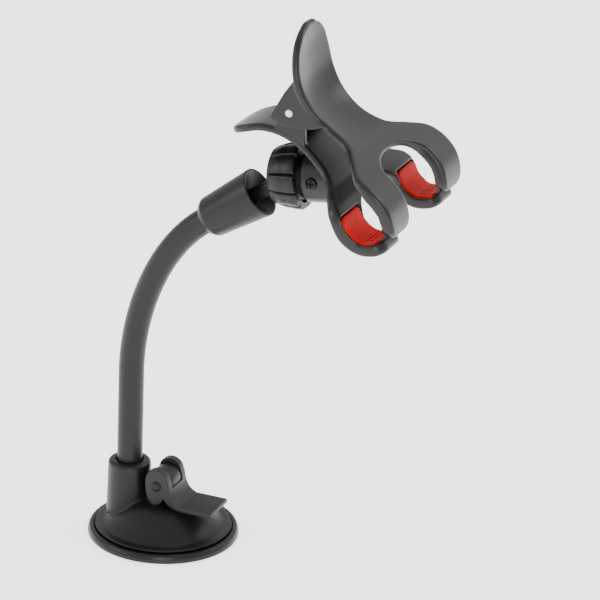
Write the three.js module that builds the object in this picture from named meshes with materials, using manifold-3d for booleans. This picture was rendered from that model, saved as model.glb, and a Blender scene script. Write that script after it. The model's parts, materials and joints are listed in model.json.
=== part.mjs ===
// Windscreen phone mount: a lever suction base, a bending gooseneck, a ball joint with a clamp nut,
// and a spring clip whose two forked jaws grip the phone with padded fingers.
// Millimetres, +Z up. The origin is the middle of the suction cup's underside, and the neck bends
// over towards +X, so the whole mount is symmetric about the XZ plane.
import * as THREE from "three";
import { mergeVertices } from "three/addons/utils/BufferGeometryUtils.js";
import Module from "manifold-3d";

const wasm = await Module();
wasm.setup();

// ---- Clearances
const SEAT_GAP = 0.3; // between pieces that touch
const PIN_GAP = 0.2; // radial, pin in its hole
const SLIDE_GAP = 0.35; // radial, plunger stem in its guide

// ---- Suction base
const CUP_RADIUS = 32.5;
const RIM_HEIGHT = 3.8;
const RIM_WIDTH = 8.5;
const MEMBRANE_WALL = 1.5;
const MEMBRANE_RISE = 5.4;
const SHELL_RADIUS = CUP_RADIUS - 3.1;
const SHELL_TOP = 15.3; // the flat that the lever's cams bear on
const SHELL_FLAT_RADIUS = 7.5;
const SHELL_WALL = 2.2;
const SHELL_EDGE = 0.6; // height of the shell's upright rim
const MEMBRANE_LIFT = 0.6; // the membrane's edge above the underside

// ---- Neck post
const SHEATH_RADIUS = 5.45; // the gooseneck's outside, which the post and the head hold
const POST_X = -(SHELL_RADIUS - 12.8);
const POST_RADIUS = SHEATH_RADIUS + 3.75;
const POST_DRAFT = 0.5;
const POST_TOP = 31;
const POST_FLOOR = 14;
const SET_SCREW_RADIUS = 1.5;
const SET_SCREW_HEIGHT = 17;
const SET_SCREW_INSET = 0.4; // the screw's end below the post's face
const SET_SCREW_SOCKET = 1.5;

// ---- Plunger and lever
const CAM_REACH = 8.7; // pin to the cam's lowest point
const PIN_HEIGHT = SHELL_TOP + CAM_REACH + 0.7; // lever pin above the underside, lever locked
const LEVER_PIN_RADIUS = 1.4;
const STEM_RADIUS = 2.6;
const STEM_HEAD_RADIUS = 5.8;
const STEM_HEAD_WIDTH = 9;
const FOOT_RADIUS = 8;
const FOOT_THICKNESS = 1.6;
const FOOT_HEIGHT = 7.5;
const LEVER_WIDTH = 17.6;
const EAR_GAP = 10.4;
const TAB_LENGTH = 14.5;
const TAB_THICKNESS = 2.4;
const EAR_ROUND = 5;
const EAR_TOP = 7.6;
const TAB_DROP = 7.35; // pin down to the tab's upper face
const TAB_ROOT = 11.4; // pin out to where the tab starts
const SLOT_FRONT = 6.2; // pin out to the end of the gap between the ears
const PIN_HEAD_LIP = 0.9;

// ---- Gooseneck
const CORE_RADIUS = SHEATH_RADIUS - 2.15;
const BEND_START = 72;
const BEND_FOOT_PULL = 25.9;
const BEND_HEAD_PULL = 27.3;
const NECK_HINGES = 9;
const HINGE_GAP = 0.75; // half of the gap between two neck links
const NECK_STEP = 6; // length of one straight facet along a link
const SHEATH_SEAT = 5; // sheath length hidden in the post and in the head

// ---- Head sleeve and ball
const BALL_CENTRE = new THREE.Vector3(53.2, 0, 171.5);
const HEAD_ELEVATION = 34.6; // degrees above the horizontal
const SLEEVE_REAR = 44.5; // distances back from the ball's centre
const SLEEVE_MOUTH = 16.8;
const SLEEVE_REAR_RADIUS = SHEATH_RADIUS + 3.25;
const SLEEVE_MOUTH_RADIUS = SHEATH_RADIUS + 5.05;
const SLEEVE_CHAMFER = 2.6;
const SLEEVE_LIP = 1;
const RECESS_DEPTH = 6;
const BALL_RADIUS = 7.5; // the nut, seat, collet and barrel are sized from it
const BALL_NECK_RADIUS = 3;
const STUD_SHANK_RADIUS = 3.4;
const STUD_END = 29.5;
const FERRULE_END = 31.5;

// ---- Clamp nut, collet and barrel
const CLIP_ELEVATION = 7.4;
const COLLET_RADIUS = BALL_RADIUS + 3;
const COLLET_WALL = 1.5;
const COLLET_REAR = -(BALL_RADIUS - 2.6); // distances forward of the ball's centre
const COLLET_STEP = BALL_RADIUS - 3.1;
const COLLET_END = BALL_RADIUS + 8.5;
const SHANK_RADIUS = COLLET_RADIUS - 1.7;
const SEAT_RING_LENGTH = 3.6;
const SEAT_FLARE = 0.5; // length of the seat ring's flared rear edge
const NUT_REAR = COLLET_REAR - 2.4;
const NUT_FRONT = COLLET_STEP + 1.2;
const NUT_RADIUS = COLLET_RADIUS + 3.4;
const NUT_REAR_RADIUS = COLLET_RADIUS + 1.1;
const NUT_SHOULDER = 6.5; // length of the nut's tapered rear part
const NUT_LOBES = 10;
const NUT_FLUTE = 1.1;
const NUT_LIP_RADIUS = BALL_RADIUS - 0.6;
const NUT_MOUTH_RADIUS = BALL_RADIUS + 1.4;
const BARREL_RADIUS = COLLET_RADIUS + 0.1;
const BARREL_FRONT = NUT_FRONT + 1.6;
const BARREL_REACH = COLLET_END + 8; // the barrel's closed end
const BARREL_ROUND = 2;
const BARREL_SIDES = 48;
const SIDE_SCREW_AT = COLLET_END - 3.6;
const SIDE_SCREW_START = 3; // the screw's end, from the barrel's axis
const SIDE_SCREW_RADIUS = 1.3;
const SIDE_SCREW_HEAD = 2.4;
const SIDE_SCREW_SEAT = BARREL_RADIUS - 1; // the head's seat, from the barrel's axis

// ---- Clip
const PIVOT = { x: BALL_CENTRE.x + 4.2, z: BALL_CENTRE.z + 31.7 };
const PIVOT_PIN_RADIUS = 1.6;
const BACK_EDGE = 14.9; // half the width of the back jaw between the cheeks
const CHEEK_THICKNESS = 2;
const CHEEK_GAP = 0.4;
const PIVOT_HOLE_REACH = BACK_EDGE + CHEEK_GAP + CHEEK_THICKNESS + 2.7; // the hole cut past the cheeks
const EAR_THICKNESS = 3;
const EAR_RADIUS = 5.2;
const EAR_INSET = 0.2; // the ears stand this far inside the back jaw's edges
const EAR_DROP = [9.6, 12.6]; // pivot down to the ears' feet, tail side and finger side
const FRONT_WALL = 3.2;
const BACK_WALL = 3.2;
const CROTCH_HALF = 20.5;
const CROTCH_LENGTH = 11;
const PAD_THICKNESS = 1.8;
const LIP_HEIGHT = PAD_THICKNESS + SEAT_GAP; // the fingers' raised lip round each pad
const LIP_START = 0.1; // the lip rises over this much of the line before the pads
const PAD_INSET = 1.6;
const FRONT_PADS = [0.8, 0.97]; // where the pads lie along the edge lines
const BACK_PADS = [0.765, 0.965];
const SPRING_WIRE = 0.8;
const SPRING_RADIUS = 3.6;
const SPRING_TURNS = 5;
const SPRING_SPAN = 12;
const SPRING_START = -2.3; // radians round the pivot

const OUTLINE_HALF = 14.9; // the back jaw's half-width that the tables below are drawn for

// Points of each jaw's edge: x, half-width, z, with x and z counted from the ball's centre. The
// front jaw's lie on its outer face, from the thumb paddle's top to the fingertips; the back jaw's
// on its inner face, from the tail.
const FRONT_EDGE = [
  [6.3, 2, 65], [5.9, 7.8, 63.6], [6.3, 12.8, 60.1], [7, 16.8, 52.5], [9.2, 18.2, 43],
  [14, 17.6, 34.8], [21.8, 16.8, 28.1], [30.3, 20, 23.3], [36.8, 30.5, 20.4], [42.8, 39.8, 17.5],
  [49.8, 41.5, 13.5], [55.6, 41.2, 7.5], [58.2, 40.2, 0.5], [58.4, 36.5, -6.6],
];
const BACK_EDGE_LINE = [
  [-24.7, 5, 18.1], [-22.2, 11.5, 20.1], [-17.2, 14.6, 22.5], [-9.2, 14.9, 24.5],
  [-1.2, 14.9, 23.9], [6.8, 14.9, 20.9], [14.3, 15.2, 15.5], [20.8, 18, 10.4], [25.1, 24.5, 8.3],
  [28.8, 33.2, 6.9], [32.7, 39.5, 3.8], [35.6, 41.6, -0.9], [38.8, 41.5, -6.3], [44.3, 41, -9.8],
  [50.3, 41.2, -9.5], [55.8, 37.5, -6.8],
];
const FRONT_CROTCH = 0.69; // where the finger gap's root lies along each edge line
const BACK_CROTCH = 0.72;
const JAW_END = 0.985; // fraction of the line where the fingertips end
const TIP_ROUND = 5;

// The cheek plates' outline: x, z from the pivot.
const CHEEK = [
  [2.1, 14.8], [-2.4, 8.3], [-5.4, 2.8], [-7.8, -1.4], [-8.2, -3.4], [-5.6, -4.6], [-1.2, -6],
  [4.6, -6.2], [10.6, -5.2], [14.6, -3.8], [15.6, -3.2], [11.4, -0.8], [7.6, 3], [4.6, 7.8],
  [3.4, 12.8],
];

// ---- Materials
const plastic = (color, roughness) =>
  new THREE.MeshStandardMaterial({ color, roughness, metalness: 0 });
const steel = new THREE.MeshStandardMaterial({ color: 0xc9cacc, roughness: 0.3, metalness: 1 });
const shellPlastic = plastic(0x333433, 0.4);
const jawPlastic = plastic(0x4b4b49, 0.38);
const darkPlastic = plastic(0x1c1c1e, 0.5);
const rubber = plastic(0x2a2b2a, 0.45);
const sheathRubber = plastic(0x343637, 0.42);
const padRubber = plastic(0xd61a14, 0.45);

// ---- Helpers
function solid(geometry) {
  const bare = geometry.index ? geometry.toNonIndexed() : geometry.clone();
  bare.deleteAttribute("normal");
  bare.deleteAttribute("uv");
  const merged = mergeVertices(bare, 1e-4);
  const vertProperties = merged.attributes.position.array;
  const triVerts = new Uint32Array(merged.index.array);
  return new wasm.Manifold(new wasm.Mesh({ numProp: 3, vertProperties, triVerts }));
}

function geometryOf(manifold) {
  const made = manifold.getMesh();
  const geometry = new THREE.BufferGeometry();
  geometry.setAttribute("position", new THREE.BufferAttribute(made.vertProperties, 3));
  geometry.setIndex(new THREE.BufferAttribute(made.triVerts, 1));
  geometry.computeVertexNormals();
  return geometry;
}

function mesh(name, shape, material) {
  const made = new THREE.Mesh(shape.isBufferGeometry ? shape : geometryOf(shape), material);
  made.name = name;
  return made;
}

// A solid turned about Z from [radius, height] points, anticlockwise in that plane.
function turned(profile, segments = 48) {
  const points = profile.map(([r, z]) => new THREE.Vector2(r, z));
  return new THREE.LatheGeometry(points, segments).rotateX(Math.PI / 2);
}

const rod = (radius, low, high, segments = 32) =>
  turned([[0, low], [radius, low], [radius, high], [0, high]], segments);

function ring(inner, outer, low, high, segments = 40) {
  return turned([[inner, low], [outer, low], [outer, high], [inner, high], [inner, low]], segments);
}

// A flat piece whose outline lies in the XZ plane, between two values of Y.
function slab(shape, yLow, yHigh, curveSegments = 8) {
  const depth = yHigh - yLow;
  const made = new THREE.ExtrudeGeometry(shape, { depth, bevelEnabled: false, curveSegments });
  return made.rotateX(Math.PI / 2).translate(0, yHigh, 0);
}

function outline(points) {
  return new THREE.Shape(points.map(([x, z]) => new THREE.Vector2(x, z)));
}

function disc(x, z, radius) {
  const shape = new THREE.Shape();
  shape.absarc(x, z, radius, 0, 2 * Math.PI);
  return shape;
}

// A group at the ball's centre whose +Z points up and forward at an elevation.
function axisGroup(elevation) {
  const group = new THREE.Group();
  group.position.copy(BALL_CENTRE);
  group.rotation.y = THREE.MathUtils.degToRad(90 - elevation);
  group.updateMatrix();
  return group;
}

const headAxis = axisGroup(HEAD_ELEVATION);
const clipAxis = axisGroup(CLIP_ELEVATION);

// A curved plate along an edge line. `edges` gives its two Y limits at a fraction of the line, and
// the plate fills between the two depths behind the line's face that `depths` gives.
function curvedPlate(line, from, to, stations, depths, edges) {
  const [thinLow, thinHigh] = depths(from);
  const bevel = Math.min(0.8, (thinHigh - thinLow) / 3);
  const corners = [
    [0, bevel], [bevel, 0], [-bevel, 0], [0, bevel], [0, -bevel], [-bevel, 0], [bevel, 0], [0, -bevel],
  ];
  const positions = [];
  for (let i = 0; i <= stations; i++) {
    const u = from + ((to - from) * i) / stations;
    const point = line.getPointAt(u);
    const tangent = line.getTangentAt(u);
    const run = Math.hypot(tangent.x, tangent.z);
    const inward = { x: tangent.z / run, z: -tangent.x / run };
    const [yLow, yHigh] = edges(u, point.y);
    const [depthLow, depthHigh] = depths(u);
    corners.forEach(([dy, dd], c) => {
      const y = (c >= 2 && c < 6 ? yHigh : yLow) + dy;
      const depth = (c < 4 ? depthLow : depthHigh) + dd;
      positions.push(point.x + inward.x * depth, y, point.z + inward.z * depth);
    });
  }
  const count = corners.length;
  const index = [];
  for (let i = 0; i < stations; i++) {
    for (let c = 0; c < count; c++) {
      const a = i * count + c;
      const b = i * count + ((c + 1) % count);
      index.push(a, a + count, b, b, a + count, b + count);
    }
  }
  const last = stations * count;
  for (let c = 1; c < count - 1; c++) {
    index.push(0, c, c + 1);
    index.push(last, last + c + 1, last + c);
  }
  const geometry = new THREE.BufferGeometry();
  geometry.setAttribute("position", new THREE.Float32BufferAttribute(positions, 3));
  geometry.setIndex(index);
  return geometry;
}

const edgeLine = (points) => {
  const widening = BACK_EDGE / OUTLINE_HALF;
  return new THREE.CatmullRomCurve3(
    points.map(([x, w, z]) => new THREE.Vector3(BALL_CENTRE.x + x, w * widening, BALL_CENTRE.z + z)),
  );
};
const frontLine = edgeLine(FRONT_EDGE);
const backLine = edgeLine(BACK_EDGE_LINE);

// The finger gap's half-width: a rounded U from its root, opening a little at the fingertips.
function gapEdge(line, crotch, u) {
  const along = ((u - crotch) * line.getLength()) / CROTCH_LENGTH;
  const rise = Math.max(0.002, Math.min(1, along));
  const fromTip = (JAW_END - u) * line.getLength();
  const tipRound = Math.max(0, TIP_ROUND - fromTip) ** 2 / (1.4 * TIP_ROUND);
  return CROTCH_HALF * Math.sqrt(1 - (1 - rise) ** 2) + tipRound;
}

// The two Y limits of a pad, or of its pocket when grown, with rounded ends.
function padEdges(line, [from, to], side, grow) {
  const length = line.getLength();
  return (u, w) => {
    const fromEnd = Math.max(0, Math.min(u - from, to - u) * length);
    const round = 2.5 * Math.max(0, 1 - fromEnd / 4) ** 2;
    const inner = CROTCH_HALF + PAD_INSET + round - grow;
    const outer = w - PAD_INSET - round + grow;
    return side > 0 ? [inner, outer] : [-outer, -inner];
  };
}

// A forked jaw: one plate along the whole line, less the gap between its fingers and the pockets
// for the pads. The gripping face is the line's own face (gripSide -1) or the far one (gripSide 1).
function forkedJaw(line, crotch, wall, gripSide, pads) {
  const lip = (u) => {
    const rise = Math.min(1, Math.max(0, (u - pads[0] + LIP_START) / LIP_START));
    return LIP_HEIGHT * rise * rise * (3 - 2 * rise);
  };
  const depths = gripSide > 0 ? (u) => [0, wall + lip(u)] : (u) => [-lip(u), wall];
  const blade = curvedPlate(line, 0, JAW_END, 44, depths, (u, w) => [-w, w]);
  const through = () => [-LIP_HEIGHT - 1.5, wall + LIP_HEIGHT + 1.5];
  const gap = curvedPlate(line, crotch, 1, 26, through, (u) => {
    const half = gapEdge(line, crotch, u);
    return [-half, half];
  });
  const grow = SEAT_GAP / line.getLength();
  const pocketDepths = gripSide > 0 ? () => [wall, wall + LIP_HEIGHT + 2] : () => [-LIP_HEIGHT - 2, 0];
  const pockets = [1, -1].map((side) => {
    const edges = padEdges(line, pads, side, SEAT_GAP);
    return solid(curvedPlate(line, pads[0] - grow, pads[1] + grow, 12, pocketDepths, edges));
  });
  return solid(blade).subtract(solid(gap)).subtract(pockets[0]).subtract(pockets[1]);
}

// ---- Suction base
function suctionRim() {
  const inner = CUP_RADIUS - RIM_WIDTH;
  const profile = [
    [inner, 0], [CUP_RADIUS - 0.8, 0], [CUP_RADIUS, 0.9], [CUP_RADIUS - 0.1, RIM_HEIGHT - 1.2],
    [CUP_RADIUS - 1, RIM_HEIGHT - 0.2], [CUP_RADIUS - 2, RIM_HEIGHT], [inner, RIM_HEIGHT], [inner, 0],
  ];
  return mesh("suction_rim", turned(profile, 56), rubber);
}

function suctionMembrane() {
  const edge = CUP_RADIUS - RIM_WIDTH - SEAT_GAP;
  const rise = (r) => MEMBRANE_RISE * Math.cos((Math.PI * r) / (2 * edge)) ** 2;
  const radii = [0, 1, 2, 3, 4, 5, 6].map((i) => (edge * i) / 6);
  const under = radii.map((r) => [r, MEMBRANE_LIFT + rise(r)]);
  const over = radii.map((r) => [r, MEMBRANE_LIFT + MEMBRANE_WALL + rise(r) * 0.93]).reverse();
  return mesh("suction_membrane", turned([...under, ...over], 32), rubber);
}

// Height of the shell's outer face at a radius: a flat top that falls in a bell to the edge.
function shellHeight(r) {
  const fall = Math.max(0, (r - SHELL_FLAT_RADIUS) / (SHELL_RADIUS - SHELL_FLAT_RADIUS));
  const foot = RIM_HEIGHT + SEAT_GAP;
  return foot + ((SHELL_TOP - foot) * (1 + Math.cos(Math.PI * fall))) / 2;
}

function baseShell() {
  const foot = RIM_HEIGHT + SEAT_GAP;
  const steps = 8;
  const radii = [];
  for (let i = 0; i <= steps; i++) {
    radii.push(SHELL_RADIUS + ((SHELL_FLAT_RADIUS - SHELL_RADIUS) * i) / steps);
  }
  const outer = radii.map((r) => [r, Math.max(shellHeight(r), foot + SHELL_EDGE)]);
  const dome = solid(turned([[0, foot], [SHELL_RADIUS, foot], ...outer, [0, SHELL_TOP]], 52));
  const innerRadius = SHELL_RADIUS - SHELL_WALL;
  const inner = radii.slice(1).map((r) => [Math.min(r, innerRadius), shellHeight(r) - SHELL_WALL]);
  const hollow = solid(
    turned([[0, 0], [innerRadius, 0], ...inner, [0, SHELL_TOP - SHELL_WALL]], 40),
  );
  const postFoot = [POST_RADIUS + POST_DRAFT, foot + 0.4];
  const postProfile = [
    [0, postFoot[1]], postFoot, [POST_RADIUS, POST_TOP - 0.6], [POST_RADIUS - 0.6, POST_TOP],
    [0, POST_TOP],
  ];
  const post = solid(turned(postProfile, 36).translate(POST_X, 0, 0));
  const bore = solid(
    rod(SHEATH_RADIUS + SEAT_GAP, POST_FLOOR, POST_TOP + 1, 28).translate(POST_X, 0, 0),
  );
  const guide = solid(rod(STEM_RADIUS + SLIDE_GAP, 0, SHELL_TOP + 1, 28));
  const screwHole = solid(
    rod(SET_SCREW_RADIUS + PIN_GAP, 0, POST_RADIUS + 4, 20)
      .rotateY(-Math.PI / 2)
      .translate(POST_X, 0, SET_SCREW_HEIGHT),
  );
  const whole = dome.add(post).subtract(hollow);
  const shell = whole.subtract(bore).subtract(guide).subtract(screwHole);
  return mesh("base_shell", shell, shellPlastic);
}

function setScrew() {
  const start = SHEATH_RADIUS + SEAT_GAP;
  const end = POST_RADIUS - SET_SCREW_INSET;
  const shape = solid(rod(SET_SCREW_RADIUS, start, end, 18)).subtract(
    solid(rod(SET_SCREW_RADIUS * 0.55, end - SET_SCREW_SOCKET, POST_RADIUS, 6)),
  );
  const made = mesh("neck_set_screw", shape, steel);
  made.rotation.y = -Math.PI / 2;
  made.position.set(POST_X, 0, SET_SCREW_HEIGHT);
  return made;
}

// ---- Plunger and lever
function plunger() {
  const footTop = FOOT_HEIGHT + FOOT_THICKNESS;
  const foot = [
    [0, FOOT_HEIGHT], [FOOT_RADIUS, FOOT_HEIGHT], [FOOT_RADIUS, footTop], [STEM_RADIUS, footTop],
    [STEM_RADIUS, PIN_HEIGHT], [0, PIN_HEIGHT],
  ];
  const neck = STEM_HEAD_RADIUS;
  const shape = new THREE.Shape();
  shape.moveTo(-neck, PIN_HEIGHT - neck);
  shape.lineTo(neck, PIN_HEIGHT - neck);
  shape.lineTo(neck, PIN_HEIGHT);
  shape.absarc(0, PIN_HEIGHT, neck, 0, Math.PI, false);
  shape.closePath();
  const head = solid(slab(shape, -STEM_HEAD_WIDTH / 2, STEM_HEAD_WIDTH / 2));
  const hole = solid(slab(disc(0, PIN_HEIGHT, LEVER_PIN_RADIUS + PIN_GAP), -10, 10));
  return mesh("plunger", solid(turned(foot, 40)).add(head).subtract(hole), darkPlastic);
}

function lever() {
  const half = LEVER_WIDTH / 2;
  const top = -TAB_DROP;
  const root = TAB_ROOT;
  const end = root + TAB_LENGTH;
  const shape = new THREE.Shape();
  shape.moveTo(-1.5, -CAM_REACH);
  shape.splineThru([
    new THREE.Vector2(-4, -6), new THREE.Vector2(-EAR_ROUND, -1), new THREE.Vector2(-EAR_ROUND, 3),
    new THREE.Vector2(-3.6, 6.2), new THREE.Vector2(0, EAR_TOP), new THREE.Vector2(3.8, 6),
    new THREE.Vector2(5.6, 2), new THREE.Vector2(6.6, -2.4), new THREE.Vector2(8.6, -5.6),
    new THREE.Vector2(root, top),
  ]);
  shape.lineTo(end - 1, top);
  shape.quadraticCurveTo(end, top, end, top - 1.2);
  shape.lineTo(end - 0.6, top - TAB_THICKNESS);
  shape.lineTo(root + 1, top - TAB_THICKNESS);
  shape.quadraticCurveTo(6, top - TAB_THICKNESS + 0.6, 3.4, -5.4);
  shape.quadraticCurveTo(2.4, -CAM_REACH + 0.6, -1.5, -CAM_REACH);
  const blank = solid(slab(shape, -half, half, 4).translate(0, 0, PIN_HEIGHT));
  const slot = solid(
    new THREE.BoxGeometry(14, EAR_GAP, 24).translate(SLOT_FRONT - 7, 0, PIN_HEIGHT),
  );
  const hole = solid(slab(disc(0, PIN_HEIGHT, LEVER_PIN_RADIUS + PIN_GAP), -half - 1, half + 1));
  return mesh("release_lever", blank.subtract(slot).subtract(hole), shellPlastic);
}

function leverPin() {
  const half = LEVER_WIDTH / 2;
  const head = LEVER_PIN_RADIUS + PIN_HEAD_LIP;
  const profile = [
    [0, -half - 1], [head * 0.8, -half - 0.9], [head, -half - SEAT_GAP],
    [LEVER_PIN_RADIUS, -half - SEAT_GAP], [LEVER_PIN_RADIUS, half + 0.2],
    [LEVER_PIN_RADIUS - 0.3, half + 0.6], [0, half + 0.6],
  ];
  const made = mesh("lever_pin", turned(profile, 24), steel);
  made.rotation.x = -Math.PI / 2;
  made.position.z = PIN_HEIGHT;
  return made;
}

// ---- Gooseneck
const onHeadAxis = (back) => new THREE.Vector3(0, 0, -back).applyMatrix4(headAxis.matrix);

function neckPath() {
  const path = new THREE.CurvePath();
  const start = new THREE.Vector3(POST_X, 0, POST_FLOOR + SEAT_GAP);
  const bend = new THREE.Vector3(POST_X, 0, BEND_START);
  const rear = onHeadAxis(SLEEVE_REAR);
  path.add(new THREE.LineCurve3(start, bend));
  path.add(
    new THREE.CubicBezierCurve3(
      bend,
      new THREE.Vector3(POST_X, 0, BEND_START + BEND_FOOT_PULL),
      onHeadAxis(SLEEVE_REAR + BEND_HEAD_PULL),
      rear,
    ),
  );
  path.add(new THREE.LineCurve3(rear, onHeadAxis(FERRULE_END)));
  return path;
}

const neck = neckPath();
const neckLength = neck.getLength();
const neckFoot = POST_TOP - POST_FLOOR - SEAT_GAP; // path length at the post's top
const neckHead = neckLength - (SLEEVE_REAR - FERRULE_END); // and at the sleeve's rear

class NeckSlice extends THREE.Curve {
  constructor(from, to) {
    super();
    this.from = from;
    this.to = to;
  }

  getPoint(t) {
    return neck.getPointAt(Math.min(1, (this.from + (this.to - this.from) * t) / neckLength));
  }
}

const hingeAt = (k) => neckFoot + ((k + 0.5) * (neckHead - neckFoot)) / NECK_HINGES;

// A stretch of the neck: a round section, hollow if it has an inner radius, along the path.
function neckLink(name, from, to, radius, inner, sides, material) {
  const section = new THREE.Shape();
  section.absarc(0, 0, radius, 0, 2 * Math.PI);
  if (inner) {
    const hole = new THREE.Path();
    hole.absarc(0, 0, inner, 0, 2 * Math.PI, true);
    section.holes.push(hole);
  }
  const steps = Math.max(1, Math.round((to - from) / NECK_STEP));
  const extrudePath = new NeckSlice(from, to);
  return mesh(
    name,
    new THREE.ExtrudeGeometry(section, { steps, extrudePath, curveSegments: sides / 2 }),
    material,
  );
}

function neckLinks() {
  const links = [];
  for (let k = 0; k <= NECK_HINGES; k++) {
    const first = k === 0;
    const last = k === NECK_HINGES;
    const low = first ? 0 : hingeAt(k - 1) + HINGE_GAP;
    const high = last ? neckLength : hingeAt(k) - HINGE_GAP;
    const sheathLow = first ? neckFoot - SHEATH_SEAT : low;
    const sheathHigh = last ? neckHead + SHEATH_SEAT : high;
    const bore = CORE_RADIUS + SEAT_GAP;
    const sheath = `neck_sheath_${k}`;
    links.push(neckLink(sheath, sheathLow, sheathHigh, SHEATH_RADIUS, bore, 16, sheathRubber));
    links.push(neckLink(`neck_core_${k}`, low, high, CORE_RADIUS, 0, 10, steel));
  }
  return links;
}

function footFerrule() {
  const high = neckFoot - SHEATH_SEAT - SEAT_GAP;
  const tube = ring(CORE_RADIUS + SEAT_GAP, SHEATH_RADIUS, 0, high, 28);
  const made = mesh("foot_ferrule", tube, steel);
  made.position.set(POST_X, 0, POST_FLOOR + SEAT_GAP);
  return made;
}

// ---- Head: sleeve, ferrule and ball stud, on the head's axis
function headSleeve() {
  const bore = SHEATH_RADIUS + SEAT_GAP;
  const studBore = STUD_SHANK_RADIUS + SEAT_GAP;
  const floor = SLEEVE_MOUTH + RECESS_DEPTH;
  const profile = [
    [bore, -SLEEVE_REAR], [SHEATH_RADIUS + 1.5, -SLEEVE_REAR],
    [SLEEVE_REAR_RADIUS, -SLEEVE_REAR + SLEEVE_CHAMFER],
    [SLEEVE_MOUTH_RADIUS, -SLEEVE_MOUTH - 0.3], [SLEEVE_MOUTH_RADIUS - 0.3, -SLEEVE_MOUTH],
    [SLEEVE_MOUTH_RADIUS - SLEEVE_LIP, -SLEEVE_MOUTH], [studBore, -floor],
    [studBore, -FERRULE_END + SEAT_GAP], [bore, -FERRULE_END + SEAT_GAP], [bore, -SLEEVE_REAR],
  ];
  return mesh("head_sleeve", turned(profile, 44), shellPlastic);
}

function headFerrule() {
  const low = -SLEEVE_REAR + SHEATH_SEAT + SEAT_GAP;
  const tube = ring(CORE_RADIUS + SEAT_GAP, SHEATH_RADIUS, low, -FERRULE_END, 28);
  return mesh("head_ferrule", tube, steel);
}

function ballStud() {
  const start = Math.asin(BALL_NECK_RADIUS / BALL_RADIUS);
  const arc = [];
  for (let i = 0; i <= 9; i++) {
    const angle = start + ((Math.PI - start) * i) / 9;
    arc.push([BALL_RADIUS * Math.sin(angle), -BALL_RADIUS * Math.cos(angle)]);
  }
  arc[9][0] = 0;
  const floor = SLEEVE_MOUTH + RECESS_DEPTH;
  const profile = [
    [0, -STUD_END], [STUD_SHANK_RADIUS, -STUD_END], [STUD_SHANK_RADIUS, -floor],
    [BALL_NECK_RADIUS, -floor + 1.5], ...arc,
  ];
  return mesh("ball_stud", turned(profile, 32), darkPlastic);
}

// ---- Clamp nut, seat ring and collet, on the clip's axis
function clampNut() {
  const shape = new THREE.Shape();
  const perLobe = 5;
  const points = [];
  for (let i = 0; i < NUT_LOBES * perLobe; i++) {
    const phase = (i % perLobe) / perLobe;
    const angle = (2 * Math.PI * i) / (NUT_LOBES * perLobe);
    const crown = NUT_FLUTE * 0.35 * (2 * phase - 1) ** 2;
    const radius = NUT_RADIUS - (phase === 0 ? NUT_FLUTE : crown);
    points.push(new THREE.Vector2(radius * Math.cos(angle), radius * Math.sin(angle)));
  }
  shape.setFromPoints(points);
  const depth = NUT_FRONT - NUT_REAR;
  const blank = new THREE.ExtrudeGeometry(shape, { depth, bevelEnabled: false });
  const hull = turned([
    [0, NUT_REAR], [NUT_REAR_RADIUS - 1.2, NUT_REAR], [NUT_REAR_RADIUS, NUT_REAR + 1.2],
    [NUT_RADIUS - 0.7, NUT_REAR + NUT_SHOULDER], [NUT_RADIUS, NUT_FRONT - 1],
    [NUT_RADIUS - 0.5, NUT_FRONT], [0, NUT_FRONT],
  ], 50);
  const lip = COLLET_REAR - SEAT_GAP;
  const hole = turned([
    [0, NUT_REAR - 1], [NUT_MOUTH_RADIUS, NUT_REAR - 1], [NUT_LIP_RADIUS, lip],
    [COLLET_RADIUS + SEAT_GAP, lip], [COLLET_RADIUS + SEAT_GAP, NUT_FRONT + 1], [0, NUT_FRONT + 1],
  ], 36);
  const nut = solid(blank.translate(0, 0, NUT_REAR)).intersect(solid(hull)).subtract(solid(hole));
  return mesh("clamp_nut", nut, shellPlastic);
}

// A ring that grips the ball between the nut's lip and the ball's waist.
function ballSeat() {
  const outer = COLLET_RADIUS - COLLET_WALL - SEAT_GAP;
  const grip = BALL_RADIUS + SEAT_GAP;
  const low = COLLET_REAR;
  const high = low + SEAT_RING_LENGTH;
  const length = SEAT_RING_LENGTH - SEAT_FLARE;
  const inner = [0, 1, 2, 3].map((i) => {
    const z = high - (length * i) / 3;
    return [Math.sqrt(grip ** 2 - z ** 2), z];
  });
  const mouth = [inner[3][0] + SEAT_FLARE / 3, low];
  const profile = [mouth, [outer, low], [outer, high], ...inner, mouth];
  return mesh("ball_seat", turned(profile, 32), darkPlastic);
}

function collet() {
  const cavity = COLLET_RADIUS - COLLET_WALL;
  const grip = BALL_RADIUS + SEAT_GAP;
  const step = COLLET_STEP;
  const cup = [0, 1, 2, 3, 4].map((i) => {
    const z = grip - ((grip - step) * i) / 4;
    return [Math.sqrt(Math.max(0, grip ** 2 - z ** 2)), z];
  });
  const profile = [
    [cavity, COLLET_REAR + 0.1], [COLLET_RADIUS, COLLET_REAR + 0.1], [COLLET_RADIUS, step],
    [SHANK_RADIUS, step + 0.8], [SHANK_RADIUS, COLLET_END], [0, COLLET_END], ...cup, [cavity, step],
    [cavity, COLLET_REAR + 0.1],
  ];
  const hole = rod(SIDE_SCREW_RADIUS + PIN_GAP, 0, 12, 16)
    .rotateX(Math.PI / 2)
    .translate(0, 0, SIDE_SCREW_AT);
  return mesh("ball_collet", solid(turned(profile, 36)).subtract(solid(hole)), darkPlastic);
}

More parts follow.
